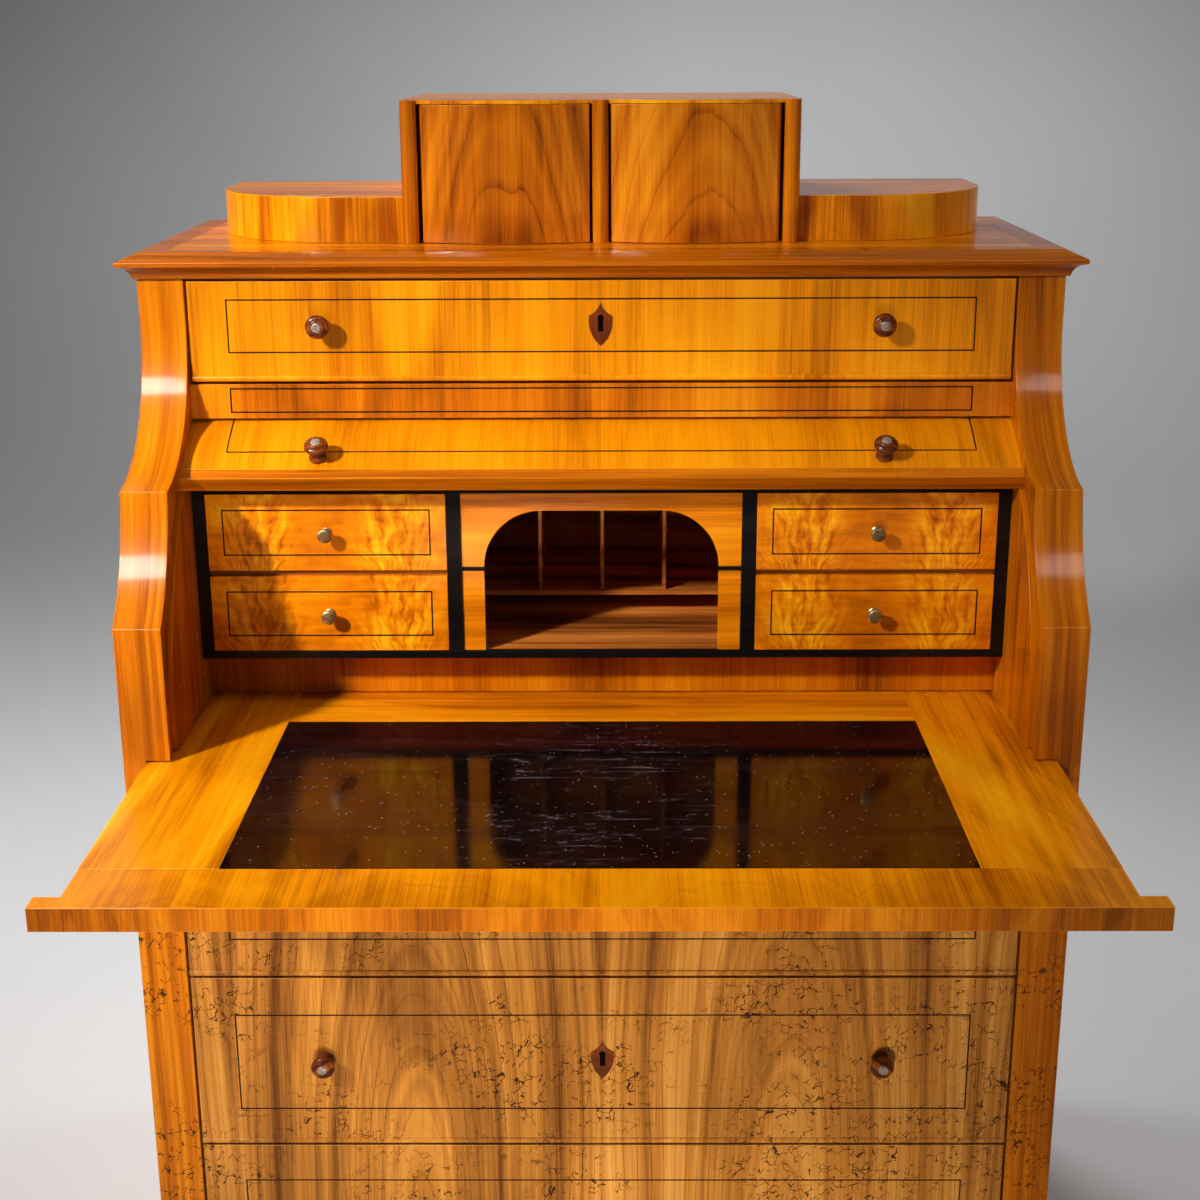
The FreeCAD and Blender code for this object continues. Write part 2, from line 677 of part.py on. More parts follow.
def make_nest():
    """The inner nest: ebonised face strips, boards behind them, arch and letter rack."""
    riser_y = f"{FRONT} + riser_setback"
    riser = (f"-{NEST_HALF}", NEST_HALF)
    depth = (riser_y, f"{riser_y} + riser_thickness")
    node(board("riser", riser, depth, (f"{BOARD_TOP} + cheek_clearance", NEST_Z)))
    strip = (NEST_Y, f"{NEST_Y} + nest_strip")
    inside = (NEST_FLOOR, NEST_CEILING)
    roof = (NEST_CEILING, f"{NEST_CEILING} + nest_roof")
    whole = (f"-{NEST_HALF}", NEST_HALF)
    pilaster = (NEST_FLOOR, f"{SPRING} - capital_height")
    capital = (f"{SPRING} - capital_height", SPRING)
    arch_back = f"{NEST_Y} + arch_recess + arch_thickness"
    capital_in = "arch_half - capital_proud"
    group(
        "nest_face_frame",
        [
            board("face_bottom", whole, strip, (NEST_Z, NEST_FLOOR)),
            board("face_top", whole, strip, roof),
        ]
        + both_sides("face_outer", ROW_OUT, NEST_HALF, strip, inside)
        + both_sides("face_inner", "bay_half", ROW_IN, strip, inside)
        + both_sides("capital", capital_in, "bay_half", (NEST_Y, arch_back), capital),
    )
    boards = (f"{NEST_Y} + nest_strip", NEST_END)
    before_back = (f"{NEST_Y} + nest_strip", f"{NEST_END} - nest_back")
    group(
        "nest_case",
        [
            board("nest_bottom", whole, boards, (NEST_Z, NEST_FLOOR)),
            board("nest_top", whole, boards, roof),
            board("nest_back_board", whole, (f"{NEST_END} - nest_back", NEST_END), inside),
        ]
        + both_sides("nest_side", ROW_OUT, NEST_HALF, before_back, inside)
        + both_sides("nest_partition", "bay_half", ROW_IN, before_back, inside),
    )
    shelf_low = f"{NEST_FLOOR} + {ROW_HEIGHT}"
    shelf = (shelf_low, f"{shelf_low} + nest_shelf")
    group("nest_drawer_shelves", both_sides("nest_shelf_piece", ROW_IN, ROW_OUT, before_back, shelf))
    arch = new_body("arch_board")
    crown = f"{SPRING} + arch_shoulder"
    flat = "(arch_half - arch_shoulder)"
    shape = [
        ("-bay_half", SPRING),
        ("-bay_half", NEST_CEILING),
        ("bay_half", NEST_CEILING),
        ("bay_half", SPRING),
        ("arch_half", SPRING, "arch_shoulder"),
        (flat, crown),
        (f"-{flat}", crown, "arch_shoulder"),
        ("-arch_half", SPRING),
    ]
    face = f"-({NEST_Y} + arch_recess)"
    pad(arch, outline(arch, "XZ_Plane", shape, face), "arch_thickness", True)
    posts = (f"{NEST_Y} + arch_recess", arch_back)
    group("arch_panel", [arch] + both_sides("pilaster", "arch_half", "bay_half", posts, pilaster))
    rack = (LETTER_Y, f"{NEST_END} - nest_back")
    shelf = (f"{LETTER_Z} - letter_shelf", LETTER_Z)
    pieces = [board("letter_shelf_board", ("-bay_half", "bay_half"), rack, shelf)]
    for number in (-1, 0, 1):
        middle = f"{number} * letter_pitch"
        span = (f"{middle} - letter_wall / 2", f"{middle} + letter_wall / 2")
        depth = (f"{LETTER_Y} + letter_wall", rack[1])
        pieces.append(board(f"letter_divider_{number + 2}", span, depth, (LETTER_Z, NEST_CEILING)))
    group("letter_rack", pieces)


def make_small_drawers():
    """Two small drawers on each side of the arch, each with a turned brass knob."""
    low_row = (NEST_FLOOR, f"{NEST_FLOOR} + {ROW_HEIGHT}")
    high_row = (f"{low_row[1]} + nest_shelf", NEST_CEILING)
    for side, way in SIDES:
        low_x, high_x = f"{ROW_IN} + slide_clearance", f"{ROW_OUT} - slide_clearance"
        span = (low_x, high_x) if way > 0 else (f"-({high_x})", f"-({low_x})")
        for row, (low, high) in (("upper", high_row), ("lower", low_row)):
            name = f"small_drawer_{row}_{side}"
            seat = (f"{low} + slide_clearance", f"{high} - slide_clearance")
            back = f"{NEST_Y} + small_front"
            node(board(f"{name}_front", span, (NEST_Y, back), seat))
            run = (back, f"{NEST_END} - nest_back - small_back_room")
            walls = (seat[0], f"{seat[1]} - tray_headroom")
            tray(f"{name}_tray", span, run, walls, "small_wall", "small_tray_floor")
            button = knob(
                f"{name}_knob",
                "small_knob_radius",
                "small_knob_length",
                "small_knob_neck",
                "small_knob_base",
                "small_knob_hollow",
            )
            place(button, f"({span[0]} + {span[1]}) / 2", NEST_Y, f"({low} + {high}) / 2")
            node(button)


def cornice_profile(edge, way):
    """The moulding's section, outwards from the given edge of the case."""
    def corner(out, up, radius=None):
        spot = (f"{edge} + {way} * ({out})", f"{TOP} + {up}")
        return spot if radius is None else spot + (f"{-way} * {radius}",)

    tip_low = "cornice_cove"
    tip_high = "cornice_cove + cornice_tip"
    return [
        corner("-cornice_inset", "0"),
        corner("cornice_foot", "0", "cornice_cove_radius"),
        corner("cornice_reach", tip_low),
        corner("cornice_reach", tip_high),
        corner("cornice_reach - cornice_bevel", "cornice_height"),
        corner("-cornice_inset", "cornice_height"),
    ]


def make_cornice():
    """Three mitred lengths of moulding round the top board."""
    reach = f"({HALF} + cornice_reach)"
    tip = f"({UPPER} - cornice_reach)"
    inset_y = f"({UPPER} + cornice_inset)"
    inset_x = f"({HALF} - cornice_inset)"
    end = f"{FRONT} + case_depth"
    above = f"{CORNICE_TOP} + cornice_tip"
    depth = "cornice_height + 2 * cornice_tip"
    front = new_body("cornice_front")
    sketch = outline(front, "YZ_Plane", cornice_profile(UPPER, -1), f"-{reach}")
    pad(front, sketch, f"2 * {reach}")
    for name, way in SIDES:
        waste = [
            (f"{way} * {reach}", tip),
            (f"{way} * {inset_x}", inset_y),
            (f"{way} * {reach}", inset_y),
        ]
        pocket(front, outline(front, "XY_Plane", waste, above), depth)
    lengths = [front]
    for name, way in SIDES:
        side = new_body(f"cornice_{name}")
        sketch = outline(side, "XZ_Plane", cornice_profile(f"{way} * {HALF}", way), f"-({tip})")
        pad(side, sketch, f"{end} - {tip}", True)
        waste = [
            (f"{way} * {reach}", tip),
            (f"{way} * {inset_x}", inset_y),
            (f"{way} * {inset_x}", tip),
        ]
        pocket(side, outline(side, "XY_Plane", waste, above), depth)
        lengths.append(side)
    group("cornice", lengths)
    low = f"{CORNICE_TOP} - top_thickness"
    plain = board("top_board_plain", (f"-{inset_x}", inset_x), (inset_y, end), (low, CORNICE_TOP))
    depth = (f"{CORNICE_TOP} - pin_length - pin_play", f"{CORNICE_TOP} + pin_length")
    holes = [(x, y, *depth, "pin_radius + pin_play") for x, y in door_axes()]
    node(drilled("top_board", plain, holes))


def door_axes():
    """Where the little doors turn: close to the outer columns, in the middle of their thickness."""
    column_side = "(cabinet_half - 2 * column_radius - door_gap - door_thickness / 2)"
    y = f"({CABINET_Y} + door_recess + door_thickness / 2)"
    return [(f"{way} * {column_side}", y) for name, way in SIDES]


def make_stepped_top():
    """Round-ended steps either side of the cabinet."""
    steps = []
    for name, way in SIDES:
        body = new_body(f"step_{name}")
        shape = [
            (f"{way} * cabinet_half", STEP_Y),
            (f"{way} * (step_half - step_radius)", STEP_Y, f"{way} * step_radius"),
            (f"{way} * step_half", f"{STEP_Y} + step_radius"),
            (f"{way} * step_half", STEP_BACK),
            (f"{way} * cabinet_half", STEP_BACK),
        ]
        pad(body, outline(body, "XY_Plane", shape, CORNICE_TOP), "step_height")
        steps.append(body)
    group("top_steps", steps)


def door_plan(way, axis_x):
    """A door seen from above: its inner and outer ends, its face and the radius of its bow."""
    inner = "(column_radius + door_gap)"
    outer = f"({axis_x} * {way})"
    face = f"({CABINET_Y} + door_recess)"
    half = f"(({outer} - {inner}) / 2)"
    return inner, outer, face, f"(({half} * {half} / door_bow + door_bow) / 2)"


def make_cabinet_roof():
    """A thin top board, bowed over each door, with holes below for the pivot pins."""
    roof = new_body("cabinet_roof_board")
    columns_in = "(cabinet_half - 2 * column_radius)"
    inner, outer, face, bow = door_plan(1, door_axes()[1][0])
    shape = [
        ("-cabinet_half", STEP_BACK),
        ("-cabinet_half", COLUMN_BACK),
        (f"-{columns_in}", COLUMN_BACK),
        (f"-{columns_in}", face),
        (f"-{outer}", face, bow),
        (f"-{inner}", face),
        ("-column_radius", face),
        ("-column_radius", COLUMN_BACK),
        ("column_radius", COLUMN_BACK),
        ("column_radius", face),
        (inner, face, bow),
        (outer, face),
        (columns_in, face),
        (columns_in, COLUMN_BACK),
        ("cabinet_half", COLUMN_BACK),
        ("cabinet_half", STEP_BACK),
    ]
    pad(roof, outline(roof, "XY_Plane", shape, CABINET_CEILING), "cabinet_roof")
    for x, y in door_axes():
        hole = disc(roof, "XY_Plane", x, y, "pin_radius + pin_play", CABINET_CEILING)
        pocket(roof, hole, "pin_length + pin_play", True)
    return roof


def make_cabinet():
    """The little cabinet: boards, three half-round columns and two bowed doors on pivot pins."""
    height = (CORNICE_TOP, CABINET_CEILING)
    walls = (COLUMN_BACK, STEP_BACK)
    before_back = (COLUMN_BACK, f"{STEP_BACK} - cabinet_wall")
    inside = ("cabinet_wall - cabinet_half", "cabinet_half - cabinet_wall")
    middle = ("-cabinet_wall / 2", "cabinet_wall / 2")
    group(
        "cabinet_case",
        [
            make_cabinet_roof(),
            board("cabinet_back", inside, (before_back[1], STEP_BACK), height),
            board("cabinet_partition", middle, before_back, height),
        ]
        + both_sides("cabinet_side", "cabinet_half - cabinet_wall", "cabinet_half", walls, height),
    )
    columns = []
    for number, x in enumerate(COLUMN_PLACES, start=1):
        round_bar = doc.addObject("Part::Cylinder", f"column_{number}_round")
        round_bar.setExpression("Radius", full("column_radius"))
        round_bar.setExpression("Height", full("cabinet_height"))
        place(round_bar, x, COLUMN_Y, CORNICE_TOP)
        waste = board(
            f"column_{number}_waste",
            (f"{x} - 2 * column_radius", f"{x} + 2 * column_radius"),
            (COLUMN_BACK, f"{COLUMN_BACK} + column_radius"),
            (f"{CORNICE_TOP} - column_radius", f"{CORNICE_TOP} + cabinet_height + column_radius"),
        )
        column = doc.addObject("Part::Cut", f"column_{number}")
        column.Base = round_bar
        column.Tool = waste
        columns.append(column)
    group("cabinet_columns", columns)
    for (name, way), (axis_x, axis_y) in zip(SIDES, door_axes()):
        make_door(f"cabinet_door_{name}", way, axis_x, axis_y)


def make_door(name, way, axis_x, axis_y):
    """A bowed door with a round hinge edge, and a pivot pin at its top and its foot."""
    body = new_body(name)
    low = f"{CORNICE_TOP} + door_play"
    high = f"({CABINET_CEILING} - door_play)"
    inner, outer, face, bow = door_plan(way, axis_x)
    back = f"({face} + door_thickness)"
    shape = [
        (f"{way} * {inner}", face, f"{way} * {bow}"),
        (f"{way} * {outer}", face, f"{way} * door_thickness / 2 * {ROUND_EDGE}"),
        (f"{way} * {outer}", back, f"{-way} * {bow}"),
        (f"{way} * {inner}", back),
    ]
    pad(body, outline(body, "XY_Plane", shape, low), f"{high} - ({low})")
    top_pin = disc(body, "XY_Plane", axis_x, axis_y, "pin_radius", high)
    pad(body, top_pin, "door_play + pin_length")
    low_pin = disc(body, "XY_Plane", axis_x, axis_y, "pin_radius", low)
    pad(body, low_pin, "door_play + pin_length", True)
    node(body)


make_sides()
make_chest()
make_writing_board()
make_flap()
make_upper_case()
make_drawers()
make_nest()
make_small_drawers()
make_cornice()
make_stepped_top()
make_cabinet()
doc.recompute()

failed = [item.Label for item in doc.Objects if {"Invalid", "Error"} & set(item.State)]
if failed:
    raise RuntimeError(f"not built: {failed}")
for piece in nodes:
    if piece.Shape.isNull() or not piece.Shape.isValid():
        raise RuntimeError(f"bad shape: {piece.Label}")

os.makedirs("parts", exist_ok=True)
for piece in nodes:
    piece.Shape.exportStep(f"parts/{piece.Label}.step")
print(len(nodes), "pieces written")
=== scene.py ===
import json
import math

import bmesh
import bpy
from mathutils import Matrix, Vector


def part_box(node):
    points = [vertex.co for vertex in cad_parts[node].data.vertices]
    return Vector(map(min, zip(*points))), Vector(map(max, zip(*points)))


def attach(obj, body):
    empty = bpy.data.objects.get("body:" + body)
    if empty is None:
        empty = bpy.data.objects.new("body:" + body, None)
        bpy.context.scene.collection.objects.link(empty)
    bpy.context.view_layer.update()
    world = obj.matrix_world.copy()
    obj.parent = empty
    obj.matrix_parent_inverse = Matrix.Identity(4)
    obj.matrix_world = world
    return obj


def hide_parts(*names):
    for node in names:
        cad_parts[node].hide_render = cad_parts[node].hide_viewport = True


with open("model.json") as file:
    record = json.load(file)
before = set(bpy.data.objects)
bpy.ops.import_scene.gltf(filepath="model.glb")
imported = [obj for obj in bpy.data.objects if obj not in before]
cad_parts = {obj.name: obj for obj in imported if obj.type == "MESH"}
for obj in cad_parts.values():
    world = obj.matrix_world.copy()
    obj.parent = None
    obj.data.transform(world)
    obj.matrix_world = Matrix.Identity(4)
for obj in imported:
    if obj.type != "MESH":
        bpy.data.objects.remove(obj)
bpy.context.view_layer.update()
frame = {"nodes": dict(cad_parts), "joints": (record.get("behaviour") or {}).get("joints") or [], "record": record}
nodes = frame["nodes"]
joints = {joint["name"]: joint for joint in frame["joints"]}
body_of = {n: body for body, names in frame["record"]["behaviour"]["bodies"].items() for n in names}

# Sizes in metres.
MM = 0.001
EDGE = 0.9 * MM
FINE_EDGE = 0.5 * MM
STRING_WIDTH = 1.6 * MM
STRING_PROUD = 0.12 * MM
SAME_POINT = 1e-6

# How far two faces turn from each other, to count as one plane, as one smooth face or as a sharp edge.
LEVEL_TURN = math.radians(0.05)
ONE_PLANE = 0.999
SMOOTH = math.cos(math.radians(50))
SHARP = math.radians(28)
# A face looks along an axis where its normal has at least this share of it.
FACING = 0.7

# The flap's cylinder, and the places of its lower edge and its knobs, in degrees above straight ahead.
ROLL = Vector(joints["flap_roll"]["pos_m"])
ROLL_RADIUS = 315 * MM
OPEN_ANGLE = 51.3
KNOB_ANGLE = OPEN_ANGLE + 5.4


def colour(red, green, blue):
    """A display colour, 0 to 255, as the linear colour that a shader takes."""
    def linear(level):
        level /= 255
        return level / 12.92 if level <= 0.04045 else ((level + 0.055) / 1.055) ** 2.4

    return (linear(red), linear(green), linear(blue), 1.0)


class Shader:
    """A material's node tree, with short calls for the nodes used here."""

    def __init__(self, name):
        self.material = bpy.data.materials.new(name)
        self.material.use_nodes = True
        self.tree = self.material.node_tree
        self.surface = self.tree.nodes["Principled BSDF"]

    def put(self, socket, value):
        """Link a node's output to a socket, or set a plain value on it."""
        if isinstance(value, bpy.types.NodeSocket):
            self.tree.links.new(value, socket)
        else:
            socket.default_value = value

    def add(self, kind, inputs=None, output=0, **settings):
        """A new node with its settings and inputs. Returns one of its outputs."""
        node = self.tree.nodes.new(kind)
        for key, setting in settings.items():
            setattr(node, key, setting)
        for key, value in (inputs or {}).items():
            self.put(node.inputs[key], value)
        return node.outputs[output]

    def math(self, operation, first, second=0.0, third=0.0):
        """One sum on up to three values."""
        inputs = {0: first, 1: second, 2: third}
        return self.add("ShaderNodeMath", inputs, operation=operation)

    def spread(self, value, low, high, new_low=0.0, new_high=1.0):
        """A value carried smoothly from one range to another, and held at its ends."""
        inputs = {0: value, 1: low, 2: high, 3: new_low, 4: new_high}
        return self.add("ShaderNodeMapRange", inputs, interpolation_type="SMOOTHSTEP")

    def sway(self, value, noise, weight):
        """A value moved up and down by a noise about its middle."""
        return self.math("MULTIPLY_ADD", self.math("SUBTRACT", noise, 0.5), weight, value)

    def mix(self, factor, first, second):
        """The first colour where the factor is 0, and the second where it is 1."""
        inputs = {0: factor, 6: first, 7: second}
        return self.add("ShaderNodeMix", inputs, 2, data_type="RGBA")

    def ramp(self, value, stops):
        """A colour that follows a value through stops, each a place and its shade."""
        node = self.tree.nodes.new("ShaderNodeValToRGB")
        self.put(node.inputs[0], value)
        points = node.color_ramp.elements
        while len(points) < len(stops):
            points.new(0.5)
        for point, (place, shade) in zip(points, stops):
            point.position = place
            point.color = shade
        return node.outputs[0]

    def split(self, vector):
        """A vector's three values."""
        node = self.tree.nodes.new("ShaderNodeSeparateXYZ")
        self.put(node.inputs[0], vector)
        return node.outputs

    def join(self, across, along, deep):
        """A vector from three values."""
        return self.add("ShaderNodeCombineXYZ", {0: across, 1: along, 2: deep})

    def stretched(self, vector, scales):
        """A vector with each of its values scaled."""
        return self.add("ShaderNodeVectorMath", {0: vector, 1: scales}, operation="MULTIPLY")

    def noise(self, vector, scales, detail=3.0, roughness=0.55):
        """Noise that varies so often in a metre along each axis."""
        inputs = {"Vector": self.stretched(vector, scales), "Scale": 1.0}
        inputs.update({"Detail": detail, "Roughness": roughness})
        return self.add("ShaderNodeTexNoise", inputs)

    def place(self):
        """Where a point lies on the piece, in metres."""
        return self.add("ShaderNodeTexCoord", output=3)

    def wear_and_highlight(self):
        """How far a face belongs to an eased edge, which the woods paint paler, partly for wear and partly as a
        painted highlight.
        """
        return self.add("ShaderNodeAttribute", output=2, attribute_name="wear_and_highlight")

    def bump(self, height, strength, distance):
        """Fine relief from a height."""
        inputs = {"Strength": strength, "Distance": distance, "Height": height}
        self.put(self.surface.inputs["Normal"], self.add("ShaderNodeBump", inputs))

    def set(self, **values):
        """Put values on the surface's own sockets."""
        for key, value in values.items():
            self.put(self.surface.inputs[key.replace("_", " ")], value)


# The markings of wood: how often each varies in a metre across, along and through the grain.
SLOW_BEND = (5.0, 2.2, 5.0)
LIVELY_BEND = (38.0, 5.0, 38.0)
BROAD_TONE = (9.0, 3.0, 9.0)
STRIPES = (42.0, 1.1, 42.0)
STREAKS = (150.0, 2.4, 150.0)
FIBRES = (760.0, 11.0, 760.0)
POLISH = (14.0, 14.0, 14.0)

# How much each marking counts. BAND_PACE is how many bands of tone go to a ring.
SLOW_WEIGHT = 3.2
LIVELY_WEIGHT = 0.55
BAND_PACE = 0.42
BAND_WEIGHT = 2.4
FIBRE_WEIGHT = 0.42
BROAD_WEIGHT = 0.6
LEAF_WEIGHT = 0.22
BAND_NOISE = {"Scale": 1.0, "Detail": 3.0, "Roughness": 0.6}
# Where the dark, the middle and the light colour lie.
WOOD_STOPS = (0.12, 0.5, 0.85)
# The dark edge of a ring, as a share of the ring, and how it fades with the broad tone.
RING_EDGE = 0.11
LINE_FADE = (0.35, 0.65)
LINE_FAINT = 0.25
# The seam between two leaves, the polish and the height of the grain.
SEAM_WIDTH = 0.5 * MM
SEAM_DARK = 0.4
POLISH_BELOW = 0.02
POLISH_WEIGHT = 0.08
POLISHED = {"Coat_Roughness": 0.11, "Specular_IOR_Level": 0.12}
GRAIN_BUMP = 0.12
GRAIN_DEPTH = 0.2 * MM

# Worm tracks: broken lines between cells, in patches, with round holes among them.
TRACK_BEND = (70.0, 70.0, 70.0)
TRACK_PATCHES = (6.0, 9.0, 6.0)
TRACK_BREAKS = (75.0, 100.0, 75.0)
TRACK_CELLS = 105.0
TRACK_SWAY = (14 * MM, 20 * MM)
TRACK_LINE = (0.026, 0.052)
TRACK_GAPS = (0.5, 0.54)
HOLE_CELLS = 75.0
HOLE_EDGE = (0.05, 0.08)
# A patch starts at a lower level of its noise where the wood is more wormed.
PATCH_START = 0.61
PATCH_GAIN = 0.2
PATCH_SOFT = 0.15
TRACK_COLOUR = colour(44, 20, 7)
TRACK_DARK = 0.92
TRACK_DEPTH = 6.0


def worm_tracks(shader, across, along, deep, amount):
    """How far a point lies in a worm track, 0 to 1."""
    grain = shader.join(across, along, deep)
    bend = shader.noise(grain, TRACK_BEND)
    bent = shader.math("MULTIPLY_ADD", bend, TRACK_SWAY[0], across)
    bent_up = shader.math("MULTIPLY_ADD", bend, TRACK_SWAY[1], along)
    inputs = {"Vector": shader.join(bent, bent_up, deep), "Scale": TRACK_CELLS}
    cells = shader.add("ShaderNodeTexVoronoi", inputs, feature="DISTANCE_TO_EDGE")
    line = shader.spread(cells, *TRACK_LINE, 1.0, 0.0)
    start = PATCH_START - PATCH_GAIN * amount
    patch = shader.spread(shader.noise(grain, TRACK_PATCHES, 2.0), start, start + PATCH_SOFT)
    broken = shader.spread(shader.noise(grain, TRACK_BREAKS, 1.0), *TRACK_GAPS)
    holes = shader.add("ShaderNodeTexVoronoi", {"Vector": grain, "Scale": HOLE_CELLS})
    holes = shader.math("MULTIPLY", shader.spread(holes, *HOLE_EDGE, 1.0, 0.0), patch)
    track = shader.math("MULTIPLY", shader.math("MULTIPLY", line, patch), broken)
    return shader.math("MAXIMUM", track, holes)


def wood(name, axes, palette, leaf=0.0, pith=0.0, depth=0.12, tilt=0.3, rings=85.0, wander=1.0,
         contrast=0.55, streaks=0.5, lines=0.1, tracks=0.0, gloss=0.24, coat=0.45, wear_and_highlight=0.3, cut=1.0,
         roll=None):
    """Polished wood. axes gives the model axes across, along and through the grain, and the palette its
    light, middle and dark colours. A leaf is the width of one sheet of veneer, each the mirror of the
    next. The rings, so many to a metre, lie round a line at pith across, or across each leaf from its
    middle, and at -depth through the grain, leaning by tilt. wander is how far they stray, contrast and
    streaks how strong bands and streaks are, and lines how dark the rings' edges are. tracks is how
    wormed the surface is. The weight that comes before cut is how far the eased edges are painted toward
    the light colour, partly for wear and partly as a painted highlight along the arrises. cut is how far a
    face that goes deeper cuts into other grain. A roll is the centre of a cylinder that the grain is bent round."""
    light, middle, dark = palette
    shader = Shader(name)
    xyz = dict(zip("xyz", shader.split(shader.place())))
    across, along, deep = (xyz[axis] for axis in axes)
    if cut != 1.0:
        deep = shader.math("MULTIPLY", deep, cut)
    if roll:
        ahead = shader.math("SUBTRACT", roll.y, xyz["y"])
        above = shader.math("SUBTRACT", xyz["z"], roll.z)
        along = shader.math("MULTIPLY", shader.math("ARCTAN2", above, ahead), ROLL_RADIUS)
        squares = shader.math("MULTIPLY_ADD", ahead, ahead, shader.math("MULTIPLY", above, above))
        deep = shader.math("SUBTRACT", shader.math("SQRT", squares), ROLL_RADIUS)
    figure_across = shader.math("SUBTRACT", across, pith)
    if leaf:
        sheet_number = shader.math("FLOOR", shader.math("DIVIDE", across, leaf))
        tone = shader.add("ShaderNodeTexWhiteNoise", {"W": sheet_number}, noise_dimensions="1D")
        folded = shader.math("PINGPONG", across, leaf)
        figure_across = shader.math("SUBTRACT", folded, leaf / 2 + pith)
        to_seam = shader.math("MINIMUM", folded, shader.math("SUBTRACT", leaf, folded))
        seam = shader.spread(to_seam, 0.0, SEAM_WIDTH, SEAM_DARK, 0.0)
    grain = shader.join(across, along, deep)
    out = shader.math("ADD", shader.math("MULTIPLY_ADD", along, tilt, depth), deep)
    squared = shader.math("MULTIPLY", figure_across, figure_across)
    squared = shader.math("MULTIPLY_ADD", out, out, squared)
    phase = shader.math("MULTIPLY", shader.math("SQRT", squared), rings)
    slow = shader.noise(grain, SLOW_BEND, 2.0)
    phase = shader.math("MULTIPLY_ADD", slow, SLOW_WEIGHT * wander, phase)
    lively = shader.noise(grain, LIVELY_BEND)
    phase = shader.math("MULTIPLY_ADD", lively, LIVELY_WEIGHT * wander, phase)
    years = shader.math("MULTIPLY", phase, BAND_PACE)
    band = shader.add("ShaderNodeTexNoise", {"W": years, **BAND_NOISE}, noise_dimensions="1D")
    value = shader.sway(0.5, band, BAND_WEIGHT * contrast)
    broad = shader.noise(grain, BROAD_TONE, 2.0)
    faint = shader.spread(broad, *LINE_FADE, LINE_FAINT, 1.0)
    edge = shader.spread(shader.math("FRACT", phase), 0.0, RING_EDGE, 1.0, 0.0)
    value = shader.math("MULTIPLY_ADD", shader.math("MULTIPLY", edge, faint), -lines, value)
    value = shader.sway(value, shader.noise(grain, STREAKS, 4.0, 0.6), streaks)
    value = shader.sway(value, shader.noise(grain, STRIPES), streaks)
    fine = shader.noise(grain, FIBRES, 2.0)
    value = shader.sway(value, fine, FIBRE_WEIGHT)
    value = shader.sway(value, broad, BROAD_WEIGHT)
    if leaf:
        value = shader.sway(value, tone, LEAF_WEIGHT)
    shade = shader.ramp(value, list(zip(WOOD_STOPS, (dark, middle, light))))
    height = fine
    if tracks:
        worm = worm_tracks(shader, across, along, deep, tracks)
        shade = shader.mix(shader.math("MULTIPLY", worm, TRACK_DARK), shade, TRACK_COLOUR)
        height = shader.math("SUBTRACT", fine, shader.math("MULTIPLY", worm, TRACK_DEPTH))
    if leaf:
        shade = shader.mix(seam, shade, dark)
    # Eased edges painted toward the light colour: partly wear, partly a painted highlight on the arrises.
    shade = shader.mix(shader.math("MULTIPLY", shader.wear_and_highlight(), wear_and_highlight), shade, light)
    rough = shader.math("MULTIPLY_ADD", shader.noise(grain, POLISH), POLISH_WEIGHT, gloss - POLISH_BELOW)
    shader.set(Base_Color=shade, Roughness=rough, Coat_Weight=coat, **POLISHED)
    shader.bump(height, GRAIN_BUMP, GRAIN_DEPTH)
    return shader.material


# The woods: light, middle and dark.
HONEY = (colour(255, 178, 16), colour(240, 144, 3), colour(158, 76, 1))
AMBER = (colour(250, 162, 14), colour(228, 126, 2), colour(142, 62, 1))
TAWNY = (colour(232, 142, 10), colour(198, 103, 2), colour(108, 45, 1))
UMBER = (colour(222, 124, 14), colour(188, 95, 5), colour(100, 42, 2))
RUSSET = (colour(232, 142, 20), colour(198, 104, 5), colour(112, 46, 2))
BROWN = (colour(232, 162, 74), colour(190, 120, 44), colour(102, 54, 18))
INSIDE = (colour(232, 146, 60), colour(192, 108, 38), colour(96, 48, 16))
PINE = (colour(214, 172, 104), colour(184, 138, 74), colour(138, 92, 42))

EBONY = (colour(34, 27, 24), colour(17, 13, 12), colour(8, 6, 6))
BLACK = (colour(40, 22, 8), colour(24, 12, 4), colour(12, 7, 4))
TURNED = (colour(156, 78, 28), colour(100, 44, 14), colour(46, 17, 6))
PLUM = (colour(138, 66, 22), colour(106, 46, 14), colour(62, 25, 8))

